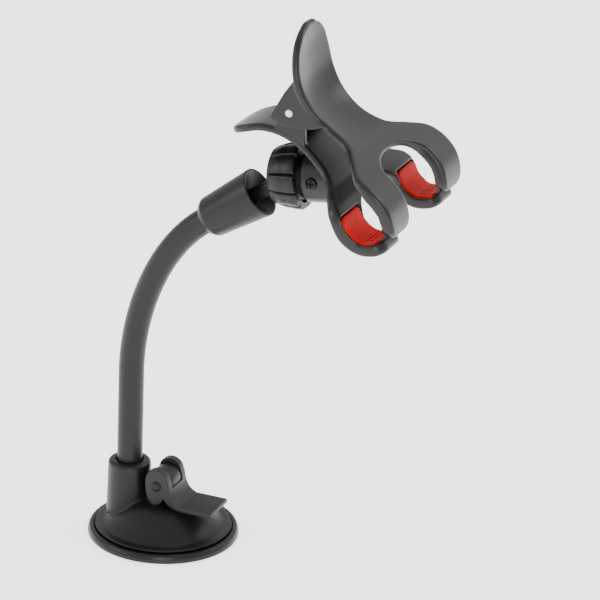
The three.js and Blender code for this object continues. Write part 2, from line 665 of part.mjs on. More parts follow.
function sideScrew() {
  const seat = SIDE_SCREW_SEAT;
  const head = [
    [0, SIDE_SCREW_START], [SIDE_SCREW_RADIUS, SIDE_SCREW_START], [SIDE_SCREW_RADIUS, seat],
    [SIDE_SCREW_HEAD, seat + SEAT_GAP], [SIDE_SCREW_HEAD, seat + 1.1],
    [SIDE_SCREW_HEAD * 0.7, seat + 1.7], [0, seat + 1.9],
  ];
  const slot = new THREE.BoxGeometry(0.7, 2.9, 2).translate(0, 0, seat + 2);
  const cross = new THREE.BoxGeometry(2.9, 0.7, 2).translate(0, 0, seat + 2);
  const shape = solid(turned(head, 24)).subtract(solid(slot).add(solid(cross)));
  const made = mesh("barrel_screw", shape, darkPlastic);
  made.rotation.x = Math.PI / 2;
  made.position.z = SIDE_SCREW_AT;
  return made;
}

// ---- Clip
function backJaw() {
  const barrel = turned([
    [0, BARREL_FRONT], [BARREL_RADIUS - 0.5, BARREL_FRONT], [BARREL_RADIUS, BARREL_FRONT + 0.5],
    [BARREL_RADIUS, BARREL_REACH - BARREL_ROUND], [BARREL_RADIUS - BARREL_ROUND, BARREL_REACH],
    [0, BARREL_REACH],
  ], BARREL_SIDES).rotateZ(Math.PI / BARREL_SIDES).applyMatrix4(clipAxis.matrix);
  const beyond = curvedPlate(backLine, 0.3, 0.72, 24, () => [-14, 0.8], () => [-16, 16]);
  const socket = rod(SHANK_RADIUS + SEAT_GAP, 0, COLLET_END + SEAT_GAP, 40);
  const seat = SIDE_SCREW_SEAT;
  const screwWay = turned([
    [0, 0], [SIDE_SCREW_RADIUS + PIN_GAP, 0], [SIDE_SCREW_RADIUS + PIN_GAP, seat],
    [SIDE_SCREW_HEAD + PIN_GAP, seat], [SIDE_SCREW_HEAD + PIN_GAP, seat + 8], [0, seat + 8],
  ], 24).rotateX(Math.PI / 2).translate(0, 0, SIDE_SCREW_AT).applyMatrix4(clipAxis.matrix);
  const ears = [1, -1].map((side) => {
    const shape = new THREE.Shape();
    shape.moveTo(PIVOT.x + EAR_RADIUS, PIVOT.z);
    shape.absarc(PIVOT.x, PIVOT.z, EAR_RADIUS, 0, Math.PI, false);
    shape.lineTo(PIVOT.x - EAR_RADIUS - 2, PIVOT.z - EAR_DROP[0]);
    shape.lineTo(PIVOT.x + EAR_RADIUS + 1, PIVOT.z - EAR_DROP[1]);
    shape.closePath();
    const outer = side * (BACK_EDGE - EAR_INSET);
    const inner = side * (BACK_EDGE - EAR_INSET - EAR_THICKNESS);
    return solid(slab(shape, Math.min(outer, inner), Math.max(outer, inner)));
  });
  const pinDisc = disc(PIVOT.x, PIVOT.z, PIVOT_PIN_RADIUS + PIN_GAP);
  const pinHole = solid(slab(pinDisc, -PIVOT_HOLE_REACH, PIVOT_HOLE_REACH));
  const jaw = forkedJaw(backLine, BACK_CROTCH, BACK_WALL, -1, BACK_PADS)
    .add(solid(barrel).subtract(solid(beyond)))
    .add(ears[0])
    .add(ears[1])
    .subtract(solid(socket.applyMatrix4(clipAxis.matrix)))
    .subtract(solid(screwWay))
    .subtract(pinHole);
  return mesh("back_jaw", jaw, jawPlastic);
}

function frontJaw() {
  const low = BACK_EDGE + CHEEK_GAP;
  const high = low + CHEEK_THICKNESS;
  const cheek = outline(CHEEK.map(([x, z]) => [PIVOT.x + x, PIVOT.z + z]));
  const cheeks = [slab(cheek, low, high), slab(cheek, -high, -low)].map(solid);
  const pinDisc = disc(PIVOT.x, PIVOT.z, PIVOT_PIN_RADIUS + PIN_GAP);
  const pinHole = solid(slab(pinDisc, -PIVOT_HOLE_REACH, PIVOT_HOLE_REACH));
  const blade = forkedJaw(frontLine, FRONT_CROTCH, FRONT_WALL, 1, FRONT_PADS);
  const jaw = blade.add(cheeks[0]).add(cheeks[1]).subtract(pinHole);
  return mesh("front_jaw", jaw, jawPlastic);
}

function fingerPad(name, line, span, depthLow, side) {
  const depths = () => [depthLow, depthLow + PAD_THICKNESS];
  const edges = padEdges(line, span, side, 0);
  return mesh(name, curvedPlate(line, ...span, 12, depths, edges), padRubber);
}

function pivotPin() {
  const half = BACK_EDGE + CHEEK_GAP + CHEEK_THICKNESS;
  const profile = [
    [0, -half - 0.3], [PIVOT_PIN_RADIUS - 0.3, -half - 0.3], [PIVOT_PIN_RADIUS, -half],
    [PIVOT_PIN_RADIUS, half], [PIVOT_PIN_RADIUS - 0.3, half + 0.3], [0, half + 0.3],
  ];
  const made = mesh("pivot_pin", turned(profile, 24), steel);
  made.rotation.x = Math.PI / 2;
  made.position.set(PIVOT.x, 0, PIVOT.z);
  return made;
}

// A torsion spring round the pivot pin, with one leg behind each jaw.
function jawSpring() {
  class Coil extends THREE.Curve {
    getPoint(t) {
      const turn = 2 * Math.PI * SPRING_TURNS;
      const angle = SPRING_START + t * turn;
      return new THREE.Vector3(
        PIVOT.x + SPRING_RADIUS * Math.cos(angle),
        SPRING_SPAN * (t - 0.5),
        PIVOT.z + SPRING_RADIUS * Math.sin(angle),
      );
    }
  }
  const section = new THREE.Shape();
  section.absarc(0, 0, SPRING_WIRE, 0, 2 * Math.PI);
  const coil = { steps: SPRING_TURNS * 12, extrudePath: new Coil(), curveSegments: 3 };
  return mesh("jaw_spring", new THREE.ExtrudeGeometry(section, coil), steel);
}

const mount = new THREE.Group();
mount.add(suctionRim(), suctionMembrane(), baseShell(), setScrew(), plunger(), lever(), leverPin());
mount.add(footFerrule(), ...neckLinks());
headAxis.add(headSleeve(), headFerrule(), ballStud());
clipAxis.add(clampNut(), ballSeat(), collet(), sideScrew());
mount.add(headAxis, clipAxis, backJaw(), frontJaw(), pivotPin(), jawSpring());
const padSeat = { back: -SEAT_GAP - PAD_THICKNESS, front: FRONT_WALL + SEAT_GAP };
for (const [hand, side] of [["left", 1], ["right", -1]]) {
  mount.add(fingerPad(`back_pad_${hand}`, backLine, BACK_PADS, padSeat.back, side));
  mount.add(fingerPad(`front_pad_${hand}`, frontLine, FRONT_PADS, padSeat.front, side));
}

export default mount;
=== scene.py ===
"""Windscreen phone mount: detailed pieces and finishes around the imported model's frame."""

import json
import math

import bmesh
import bpy
from mathutils import Matrix, Vector


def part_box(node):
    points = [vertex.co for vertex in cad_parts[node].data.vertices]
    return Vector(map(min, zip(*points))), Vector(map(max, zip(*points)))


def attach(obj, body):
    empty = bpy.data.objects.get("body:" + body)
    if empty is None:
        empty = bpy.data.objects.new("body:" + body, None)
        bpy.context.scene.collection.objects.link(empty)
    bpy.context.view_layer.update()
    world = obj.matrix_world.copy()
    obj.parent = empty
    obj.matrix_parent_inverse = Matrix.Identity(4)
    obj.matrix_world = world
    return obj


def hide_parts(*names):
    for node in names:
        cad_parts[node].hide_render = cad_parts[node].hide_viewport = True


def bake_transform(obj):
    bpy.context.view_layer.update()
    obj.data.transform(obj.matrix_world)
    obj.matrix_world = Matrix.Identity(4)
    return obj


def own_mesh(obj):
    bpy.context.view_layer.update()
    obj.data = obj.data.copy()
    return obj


bl_info = {
    "name": "Windscreen Phone Mount",
    "version": (1, 0, 0),
    "blender": (4, 5, 0),
    "location": "3D View > Sidebar > Phone Mount",
    "description": "Builds the pieces and finishes of a lever suction phone mount",
    "category": "Add Mesh",
}

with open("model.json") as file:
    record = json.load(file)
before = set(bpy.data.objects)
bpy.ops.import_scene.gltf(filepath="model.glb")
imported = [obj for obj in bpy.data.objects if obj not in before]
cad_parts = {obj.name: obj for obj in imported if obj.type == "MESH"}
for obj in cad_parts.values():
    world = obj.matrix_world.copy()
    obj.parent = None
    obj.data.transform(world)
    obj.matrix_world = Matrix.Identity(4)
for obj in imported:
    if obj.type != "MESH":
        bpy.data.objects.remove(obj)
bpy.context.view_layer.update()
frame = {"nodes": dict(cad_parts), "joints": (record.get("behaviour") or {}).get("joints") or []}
MM = 0.001
TURN = 2 * math.pi


# ---- Places from the frame
def joint(name):
    return next(j for j in frame["joints"] if j["name"] == name)


def joint_point(name):
    return Vector(joint(name)["pos_m"])


def joint_axis(name):
    return Vector(joint(name)["axis"]).normalized()


def box_size(node):
    low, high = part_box(node)
    return [high[i] - low[i] for i in range(3)]


BALL = joint_point("ball_tilt")
HEAD_AXIS = joint_axis("ball_pan")
CLIP_AXIS = joint_axis("clip_turn")
PIVOT = joint_point("jaw_open")
LEVER_PIN = joint_point("lever_turn")
CUP_RADIUS = box_size("suction_rim")[0] / 2
RIM_HEIGHT = box_size("suction_rim")[2]
SHELL_RADIUS = box_size("base_shell")[0] / 2
POST_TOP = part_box("base_shell")[1][2]
POST_X = joint_point("neck_bend_1").x
SHEATH_RADIUS = box_size("neck_sheath_0")[0] / 2


def along(axis, origin=BALL):
    """A placement whose +Z lies on an axis in the XZ plane and whose +Y stays the row's +Y."""
    side = Vector((0, 1, 0))
    across = side.cross(axis)
    turn = Matrix((across, side, axis)).transposed()
    return Matrix.Translation(origin) @ turn.to_4x4()


HEAD = along(HEAD_AXIS)
CLIP = along(CLIP_AXIS)


SIDE_SCREW = BALL + CLIP_AXIS * 12.4 * MM


# ---- Sizes in millimetres
SEAT_GAP = 0.3  # between pieces that touch
RIM_WIDTH = 8.5
MEMBRANE_LIFT = 0.6
MEMBRANE_WALL = 1.5
MEMBRANE_RISE = 5.4
SHELL_FLAT_RADIUS = 7.5
SHELL_WALL = 2.2
SHELL_VOXEL = 0.42
POST_WALL = 3.75
POST_FLOOR = 14
GUIDE_RADIUS = 2.95
SET_SCREW_HEIGHT = 17
SET_SCREW_HOLE = 1.7
CAM_REACH = 8.7
TAB_ROOT = 11.4
TAB_LENGTH = 14.5
TAB_THICKNESS = 2.4
EAR_GAP = 10.4
SLOT_FRONT = 6.2
LEVER_PIN_RADIUS = 1.4
DOT_RADIUS = 0.3
DOT_SINK = 0.02
STEM_RADIUS = 2.6
STEM_HEAD_RADIUS = 5.8
STEM_HEAD_WIDTH = 9
FOOT_RADIUS = 8
FOOT_LOW = 7.5
FOOT_TOP = 9.1
NECK_FOOT = 14.3
BEND_START = 72.0
BEND_FOOT_PULL = 25.9
BEND_HEAD_PULL = 27.3
BEND_REACH = 6.2  # each side of a hinge; the gooseneck works out the points this far out but does not use them
SHEATH_SEAT = 5
SHEATH_BORE = 3.6
# Distances along the head's or the clip's axis are counted from the ball's centre.
SLEEVE_REAR = -44.5
SLEEVE_MOUTH = -16.8
SLEEVE_FLOOR = -31.2
STUD_END = -29.5
STUD_SHANK_RADIUS = 3.4
BALL_RADIUS = 7.5
BALL_NECK_RADIUS = 3.0
NUT_REAR = -7.3
NUT_FRONT = 5.6
NUT_LIP = -5.2
NUT_BORE = 10.8
SIDE_SCREW_SEAT = 9.6
CHEEK_INNER = 15.3
CHEEK_OUTER = 17.3
EAR_OUTER = 14.7
EAR_THICKNESS = 3
EAR_RADIUS = 5.2
PIVOT_PIN_RADIUS = 1.6
SPRING_RADIUS = 3.6
SPRING_LENGTH = 12.6
SPRING_WIRE = 0.5

# ---- Stage, in metres and degrees
FLOOR_DROP = 0.0003
FLOOR_GLOW = 1.9
WORLD_STRENGTH = 1.15
LIGHT_TARGET = Vector((0.04, 0, 0.12))
CAMERA_ANGLES = (21.4, 21.73, 2.46)  # azimuth, elevation and roll
CAMERA_TARGET = (0.0587, 0, 0.11826)
CAMERA_DISTANCE = 1.1842
CAMERA_LENS = 173.6
PLAIN_SPECULAR = 0.26
PAD_SPECULAR = 0.08


# ---- Shader maths
class Signal:
    """One output socket; sums and products of signals add Math nodes."""

    def __init__(self, finish, socket):
        self.finish = finish
        self.socket = socket

    def math(self, operation, first, second=0.0):
        made = self.finish.node("ShaderNodeMath", {"operation": operation}, {0: first, 1: second})
        return Signal(self.finish, made.outputs[0])

    def __add__(self, other):
        return self.math("ADD", self, other)

    def __sub__(self, other):
        return self.math("SUBTRACT", self, other)

    def __rsub__(self, other):
        return self.math("SUBTRACT", other, self)

    def __mul__(self, other):
        return self.math("MULTIPLY", self, other)

    __radd__ = __add__
    __rmul__ = __mul__

    def clamp(self, low, high):
        return self.math("MINIMUM", self.math("MAXIMUM", self, low), high)


class Finish:
    """A material under construction."""

    def __init__(self, name):
        self.material = bpy.data.materials.new(name)
        self.material.use_nodes = True
        self.tree = self.material.node_tree
        self.shader = self.tree.nodes["Principled BSDF"]
        self.shader.inputs["Specular IOR Level"].default_value = PLAIN_SPECULAR

    def node(self, kind, settings=None, values=None):
        made = self.tree.nodes.new(kind)
        for key, value in (settings or {}).items():
            if key == "stops":
                for element, (position, colour) in zip(made.color_ramp.elements, value):
                    element.position = position
                    element.color = colour
            else:
                setattr(made, key, value)
        for key, value in (values or {}).items():
            if isinstance(value, Signal):
                self.tree.links.new(value.socket, made.inputs[key])
            else:
                made.inputs[key].default_value = value
        return made

    def object_point(self):
        return Signal(self, self.node("ShaderNodeTexCoord").outputs["Object"])

    def noise(self, scale, detail=3.0, roughness=0.55, stretch=None):
        point = self.object_point()
        if stretch:
            moved = self.node("ShaderNodeMapping", {}, {"Vector": point, "Scale": stretch})
            point = Signal(self, moved.outputs[0])
        values = {"Vector": point, "Scale": scale, "Detail": detail, "Roughness": roughness}
        return Signal(self, self.node("ShaderNodeTexNoise", {}, values).outputs[0])

    def cells(self, scale):
        values = {"Vector": self.object_point(), "Scale": scale}
        return Signal(self, self.node("ShaderNodeTexVoronoi", {}, values).outputs["Distance"])

    def mix_colour(self, factor, a, b):
        made = self.node("ShaderNodeMix", {"data_type": "RGBA"}, {0: factor, 6: a, 7: b})
        return Signal(self, made.outputs[2])

    def bump(self, height, distance, strength=1.0):
        made = self.node(
            "ShaderNodeBump", {}, {"Height": height, "Distance": distance, "Strength": strength}
        )
        return Signal(self, made.outputs[0])

    def surface(self, **sockets):
        for name, value in sockets.items():
            target = self.shader.inputs[name.replace("_", " ")]
            if isinstance(value, Signal):
                self.tree.links.new(value.socket, target)
            else:
                target.default_value = value
        return self.material


def shade(colour, factor):
    return tuple(min(1.0, c * factor) for c in colour[:3]) + (1.0,)


# ---- Finishes
def moulded(name, colour, roughness, grain=0.00003, contrast=0.16, coat=0.0):
    """Moulded plastic: fine spark-eroded grain, slow changes of shade and faint handling marks."""
    finish = Finish(name)
    slow = finish.noise(55.0, 4.0)
    fine = finish.noise(2600.0, 2.0)
    rubbed = finish.noise(260.0, 5.0, 0.7, (1.0, 1.0, 0.25))
    tint = finish.mix_colour(slow, shade(colour, 1 - contrast), shade(colour, 1 + contrast))
    marks = (rubbed - 0.5) * 0.10
    rough = ((slow - 0.5) * 0.10 + (fine - 0.5) * 0.06 + marks + roughness).clamp(0.12, 0.9)
    bumps = finish.bump(fine + rubbed * 0.4, grain, 0.6)
    sockets = {"Base_Color": tint, "Roughness": rough, "Normal": bumps, "Coat_Weight": coat}
    return finish.surface(Coat_Roughness=0.25, **sockets)


def cup_rubber(name, colour):
    finish = Finish(name)
    slow = finish.noise(40.0, 3.0)
    smear = finish.noise(150.0, 5.0, 0.65, (1.0, 1.0, 3.0))
    fine = finish.noise(1800.0, 2.0)
    tint = finish.mix_colour(slow, shade(colour, 0.85), shade(colour, 1.2))
    rough = ((smear - 0.5) * 0.16 + (slow - 0.5) * 0.08 + 0.36).clamp(0.2, 0.7)
    bumps = finish.bump(fine + smear, 0.00003, 0.5)
    return finish.surface(Base_Color=tint, Roughness=rough, Normal=bumps)


def sheath_skin(name, colour):
    """Extruded sheath: fine grain, slow changes of tone and a soft print of the coil inside."""
    finish = Finish(name)
    attribute = finish.node("ShaderNodeAttribute", {"attribute_name": "run"})
    run = Signal(finish, attribute.outputs["Fac"])
    coil = run.math("SINE", run * (TURN / 2.3), 0.0)
    slow = finish.noise(60.0, 3.0)
    fine = finish.noise(1500.0, 3.0)
    tint = finish.mix_colour(slow, shade(colour, 0.85), shade(colour, 1.18))
    rough = ((slow - 0.5) * 0.12 + (fine - 0.5) * 0.08 + 0.4).clamp(0.2, 0.8)
    bumps = finish.bump(fine * 0.6 + coil * 0.25, 0.00004, 0.5)
    return finish.surface(Base_Color=tint, Roughness=rough, Normal=bumps)


def pad_rubber(name, colour):
    """Soft rubber: matt bloom, tiny pits and slightly darker low spots."""
    finish = Finish(name)
    slow = finish.noise(120.0, 3.0)
    pits = finish.cells(1100.0)
    fine = finish.noise(2400.0, 2.0)
    tint = finish.mix_colour(slow, shade(colour, 0.82), shade(colour, 1.12))
    rough = ((slow - 0.5) * 0.15 + (fine - 0.5) * 0.1 + 0.42).clamp(0.25, 0.8)
    bumps = finish.bump(pits * 0.7 + fine * 0.5, 0.00004, 0.6)
    finish.shader.inputs["Specular IOR Level"].default_value = PAD_SPECULAR
    return finish.surface(Base_Color=tint, Roughness=rough, Normal=bumps)


def bright_steel(name, colour, roughness=0.28):
    finish = Finish(name)
    lines = finish.noise(900.0, 4.0, 0.6, (0.15, 1.0, 1.0))
    slow = finish.noise(90.0, 3.0)
    tint = finish.mix_colour(slow, shade(colour, 0.85), shade(colour, 1.1))
    rough = ((lines - 0.5) * 0.2 + (slow - 0.5) * 0.1 + roughness).clamp(0.1, 0.6)
    return finish.surface(
        Base_Color=tint, Roughness=rough, Metallic=1.0, Normal=finish.bump(lines, 0.00002, 0.4)
    )


def pale_floor(name, colour):
    finish = Finish(name)
    slow = finish.noise(3.0, 2.0)
    tint = finish.mix_colour(slow, shade(colour, 0.99), shade(colour, 1.01))
    return finish.surface(
        Base_Color=tint,
        Roughness=0.65,
        Emission_Color=(1.0, 1.0, 1.0, 1.0),
        Emission_Strength=FLOOR_GLOW,
    )


FINISHES = {}


def finish_pieces(pieces, finish, body=None):
    """Gives pieces a finish, and rides them on a body."""
    for piece in pieces:
        piece.data.materials.clear()
        piece.data.materials.append(FINISHES[finish])
        if body:
            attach(piece, body)


def finish_node(node, finish):
    """A new finish on a CAD node whose shape is kept."""
    shown = frame["nodes"][node]
    if not shown.material_slots:
        shown.data.materials.append(None)
    for place in shown.material_slots:
        place.link = "OBJECT"
        place.material = FINISHES[finish]


# ---- Mesh helpers
SMOOTH_ANGLE = math.radians(38)
MERGE_DISTANCE = 1e-6


def new_piece(name, mesh_data):
    """An object from a bmesh: doubles merged, normals out, smooth shading with creases kept."""
    bmesh.ops.remove_doubles(mesh_data, verts=mesh_data.verts, dist=MERGE_DISTANCE)
    bmesh.ops.recalc_face_normals(mesh_data, faces=mesh_data.faces)
    data = bpy.data.meshes.new(name)
    mesh_data.to_mesh(data)
    mesh_data.free()
    piece = bpy.data.objects.new(name, data)
    bpy.context.scene.collection.objects.link(piece)
    smooth(piece)
    return piece


def smooth(piece):
    for face in piece.data.polygons:
        face.use_smooth = True
    piece.data.set_sharp_from_angle(angle=SMOOTH_ANGLE)


def modified(piece, modifiers):
    """Adds modifiers as (type, settings), then makes their result the piece's mesh."""
    for kind, settings in modifiers:
        modifier = piece.modifiers.new(kind.title(), kind)
        for key, value in settings.items():
            setattr(modifier, key, value)
    made = plain_mesh(piece)
    piece.modifiers.clear()
    piece.data = made
    made.name = piece.name
    return piece


def joined(name, parts):
    """One object from several, their meshes side by side."""
    gathered = bmesh.new()
    for part in parts:
        gathered.from_mesh(part.data)
        bpy.data.objects.remove(part)
    return new_piece(name, gathered)


def fused(piece, voxel, rounds, factor=0.5):
    """Welds overlapping shells into one skin with small fillets where they meet."""
    modified(piece, [("REMESH", {"mode": "VOXEL", "voxel_size": voxel, "adaptivity": 0.0})])
    modified(piece, [("SMOOTH", {"factor": factor, "iterations": rounds})])
    smooth(piece)
    return piece


def cut(piece, cutter):
    """Takes a closed shape out of a piece."""
    modified(piece, [("BOOLEAN", {"operation": "DIFFERENCE", "object": cutter, "solver": "EXACT"})])
    bpy.data.objects.remove(cutter)
    smooth(piece)
    return piece


def rounded(profile, steps=5):
    """A profile of (radius, height, corner radius) points with its corners rounded."""
    closed = profile[0][:2] == profile[-1][:2]
    points = profile[:-1] if closed else profile
    count = len(points)
    made = []
    for i, (r, z, corner) in enumerate(points):
        here = Vector((r, z))
        if corner <= 0 or (not closed and i in (0, count - 1)):
            made.append(here)
            continue
        before = Vector(points[i - 1][:2]) - here
        after = Vector(points[(i + 1) % count][:2]) - here
        reach = min(corner, before.length * 0.48, after.length * 0.48)
        start = here + before.normalized() * reach
        end = here + after.normalized() * reach
        for k in range(steps + 1):
            t = k / steps
            made.append(start * (1 - t) ** 2 + here * 2 * t * (1 - t) + end * t * t)
    if closed:
        made.append(made[0])
    return made


def turned(name, profile, place=None, segments=96, wave=None):
    """A solid turned about +Z from rounded profile points in millimetres. `wave` scales the radius
    from the angle and height."""
    points = rounded(profile)
    made = bmesh.new()
    rings = []
    for point in points:
        ring = []
        for k in range(segments):
            angle = TURN * k / segments
            radius = point.x * (wave(angle, point.x, point.y) if wave else 1)
            spot = Vector((radius * math.cos(angle), radius * math.sin(angle), point.y)) * MM
            ring.append(made.verts.new(spot))
        rings.append(ring)
    for low, high in zip(rings, rings[1:]):
        for k in range(segments):
            n = (k + 1) % segments
            made.faces.new([low[k], low[n], high[n], high[k]])
    bmesh.ops.remove_doubles(made, verts=made.verts, dist=1e-7)
    if place:
        made.transform(place)
    return new_piece(name, made)


def rod(radius, low, high):
    """The profile of a plain round rod, for `turned`."""
    return [(0, low, 0), (radius, low, 0), (radius, high, 0), (0, high, 0)]


def slab(name, outline, low, high, bevel=0.4, steps=3):
    """A flat piece with its outline in XZ, between two Y values, with rounded rims. Millimetres."""
    made = bmesh.new()
    bottom = [made.verts.new(Vector((x, low, z)) * MM) for x, z in outline]
    top = [made.verts.new(Vector((x, high, z)) * MM) for x, z in outline]
    count = len(outline)
    made.faces.new(bottom)
    made.faces.new(top)
    for i in range(count):
        n = (i + 1) % count
        made.faces.new([bottom[i], bottom[n], top[n], top[i]])
    bmesh.ops.recalc_face_normals(made, faces=made.faces)
    if bevel:
        rims = set(bottom) | set(top)
        edges = [
            e
            for e in made.edges
            if e.verts[0] in rims and abs(e.verts[0].co.y - e.verts[1].co.y) < 1e-7
        ]
        settings = {"offset": bevel * MM, "segments": steps, "profile": 0.5, "affect": "EDGES"}
        bmesh.ops.bevel(made, geom=edges, clamp_overlap=True, **settings)
    return new_piece(name, made)


def bezier(points, count):
    """Points of one cubic stretch, without its last."""
    a, b, c, d = (Vector(p) for p in points)
    made = []
    for k in range(count):
        t = k / count
        s = 1 - t
        made.append(a * s**3 + b * 3 * t * s * s + c * 3 * t * t * s + d * t**3)
    return made


def arc(centre, radius, start, end, count=16):
    """Points of an arc in XZ from one angle to another, in degrees."""
    made = []
    for k in range(count + 1):
        angle = math.radians(start + (end - start) * k / count)
        made.append((centre[0] + radius * math.cos(angle), centre[1] + radius * math.sin(angle)))
    return made


def spline(points, count):
    """Centripetal Catmull-Rom points through a list of places."""
    places = [Vector(p) for p in points]
    made = []
    for i in range(len(places) - 1):
        p1, p2 = places[i], places[i + 1]
        p0 = places[i - 1] if i else p1 * 2 - p2
        p3 = places[i + 2] if i + 2 < len(places) else p2 * 2 - p1
        gaps = [max((b - a).length ** 0.5, 1e-4) for a, b in ((p0, p1), (p1, p2), (p2, p3))]
        d0, d1, d2 = gaps
        m1 = ((p1 - p0) / d0 - (p2 - p0) / (d0 + d1) + (p2 - p1) / d1) * d1
        m2 = ((p2 - p1) / d1 - (p3 - p1) / (d1 + d2) + (p3 - p2) / d2) * d1
        for k in range(count):
            t = k / count
            h = (2 * t**3 - 3 * t * t + 1, t**3 - 2 * t * t + t, 3 * t * t - 2 * t**3, t**3 - t * t)
            made.append(p1 * h[0] + m1 * h[1] + p2 * h[2] + m2 * h[3])
    made.append(places[-1])
    return made


# ---- The jaws' shared shape
class EdgeLine:
    """A jaw's edge line: x, half-width and z along it, by distance in the XZ plane."""

    def __init__(self, points, crotch, wall):
        ball = BALL / MM
        self.points = spline([(ball.x + x, w, ball.z + z) for x, w, z in points], 24)
        self.steps = [0.0]
        self.reach = [0.0]
        for a, b in zip(self.points, self.points[1:]):
            self.reach.append(self.reach[-1] + (b - a).length)
            self.steps.append(self.steps[-1] + math.hypot(b.x - a.x, b.z - a.z))
        self.wall = wall
        self.length = self.at_fraction(JAW_END)
        self.crotch = self.at_fraction(crotch)

    def at_fraction(self, share):
        """The distance in the XZ plane at a share of the edge's true length."""
        target = share * self.reach[-1]
        i = max(k for k, value in enumerate(self.reach[:-1]) if value <= target)
        part = (target - self.reach[i]) / (self.reach[i + 1] - self.reach[i])
        return self.steps[i] + part * (self.steps[i + 1] - self.steps[i])

    def seek(self, s):
        low, high = 0, len(self.steps) - 2
        while low < high:
            middle = (low + high + 1) // 2
            if self.steps[middle] <= s:
                low = middle
            else:
                high = middle - 1
        part = (s - self.steps[low]) / max(self.steps[low + 1] - self.steps[low], 1e-9)
        return low, part

    def place(self, s):
        i, part = self.seek(s)
        return self.points[i].lerp(self.points[i + 1], part)

    def inward(self, s):
        """The unit direction from the line's face into the plate, from a smoothed tangent."""
        ahead = self.place(min(s + 0.6, self.steps[-1]))
        behind = self.place(max(s - 0.6, 0.0))
        run = Vector((ahead.x - behind.x, 0, ahead.z - behind.z)).normalized()
        return Vector((run.z, 0, -run.x))

    def bend(self, s, y, depth):
        """A point of the flat blank, carried onto the bent jaw. Millimetres."""
        within = min(max(s, 0.0), self.steps[-1])
        spot = self.place(within)
        return Vector((spot.x, y, spot.z)) + self.inward(within) * depth


JAW_END = 0.985
FRONT_CROTCH = 0.69
BACK_CROTCH = 0.72
CROTCH_HALF = 20.5
CROTCH_LENGTH = 11.0
TIP_ROUND = 5.0
FRONT_WALL = 3.2
BACK_WALL = 3.2
LIP = 2.1
LIP_START = 0.1
PAD_INSET = 1.6
PAD_INNER = CROTCH_HALF + PAD_INSET
PAD_OUTER = 39.9  # the flat strip's outer side, before it is fitted to the finger's width
PAD_CORNER = 2.6
PAD_THICKNESS = 1.8
PADS = {"front": (0.8, 0.97), "back": (0.765, 0.965)}
# Points of each jaw's edge: x, half-width and z, with x and z counted from the ball's centre.
FRONT_EDGE = [
    (6.3, 2, 65), (5.9, 7.8, 63.6), (6.3, 12.8, 60.1), (7, 16.8, 52.5), (9.2, 18.2, 43),
    (14, 17.6, 34.8), (21.8, 16.8, 28.1), (30.3, 20, 23.3), (36.8, 30.5, 20.4), (42.8, 39.8, 17.5),
    (49.8, 41.5, 13.5), (55.6, 41.2, 7.5), (58.2, 40.2, 0.5), (58.4, 36.5, -6.6),
]
BACK_EDGE = [
    (-24.7, 5, 18.1), (-22.2, 11.5, 20.1), (-17.2, 14.6, 22.5), (-9.2, 14.9, 24.5),
    (-1.2, 14.9, 23.9), (6.8, 14.9, 20.9), (14.3, 15.2, 15.5), (20.8, 18, 10.4), (25.1, 24.5, 8.3),
    (28.8, 33.2, 6.9), (32.7, 39.5, 3.8), (35.6, 41.6, -0.9), (38.8, 41.5, -6.3), (44.3, 41, -9.8),
    (50.3, 41.2, -9.5), (55.8, 37.5, -6.8),
]


def blank_outline(line):
    """The unrolled jaw's outline as (distance, y): out along one edge, round both fingertips and
    the rounded gap between them, and back along the other edge."""
    tip = TIP_ROUND
    edge = [(s, line.place(s).y) for s in spread(0.35, line.length - tip, 60)]
    end_width = line.place(line.length - tip).y
    root = line.crotch
    inner = CROTCH_HALF
    finger_round = [
        (line.length - tip + tip * math.sin(a), end_width - tip * (1 - math.cos(a)))
        for a in spread(0.12, math.pi / 2, 8)
    ]
    inner_round = [
        (line.length - tip * (1 - math.sin(a)), inner + tip * (1 - math.cos(a)))
        for a in spread(math.pi / 2, 0.0, 8)
    ]
    gap = [
        (root + CROTCH_LENGTH * (1 - math.cos(a)), inner * math.sin(a))
        for a in spread(math.pi / 2, 0.06, 20)
    ]
    half = edge + finger_round + inner_round + gap
    return half + [(s, -y) for s, y in reversed(half)]


def spread(low, high, count):
    """Evenly spaced values from low to high, both included."""
    return [low + (high - low) * k / (count - 1) for k in range(count)]


def bent_jaw(name, line, jaw, dish, voxel=0.45):
    """A jaw's plate: the flat blank with rounded rims, made dense, dished, given its raised lip
    round the pad pockets, and bent to shape."""
    bevel = min(1.25, line.wall * 0.42)
    blank = slab(name, blank_outline(line), 0.0, line.wall, bevel, 4)
    # The blank lies in XZ with its thickness along Y: x is the distance, z is the jaw's y.
    fused(blank, voxel * MM, 4)
    first, last = PADS[jaw]
    start = line.at_fraction(first - LIP_START)
    low, high = line.at_fraction(first), line.at_fraction(last)
    for vertex in blank.data.vertices:
        s, depth, y = (value / MM for value in vertex.co)
        depth += dish(s, y)
        lip = LIP * ease((s - start) / (low - start))
        pocket = pad_mask(line, low, high, s, abs(y))
        share = ease(depth / line.wall) if jaw == "front" else ease(1 - depth / line.wall)
        depth += (lip * (1 - pocket)) * share * (1 if jaw == "front" else -1)
        vertex.co = line.bend(s, y, depth) * MM
    return blank


def ease(t):
    t = min(1.0, max(0.0, t))
    return t * t * (3 - 2 * t)


def pad_mask(line, low, high, s, y):
    """1 inside a pad's pocket and 0 outside, with a steep wall between."""
    width = line.place(min(max(s, 0.0), line.steps[-1])).y
    gap = 0.35
    outer = width - PAD_INSET
    inside = min(s - low + gap, high + gap - s, y - PAD_INNER + gap, outer + gap - y)
    return ease(inside / 0.5 + 0.5)


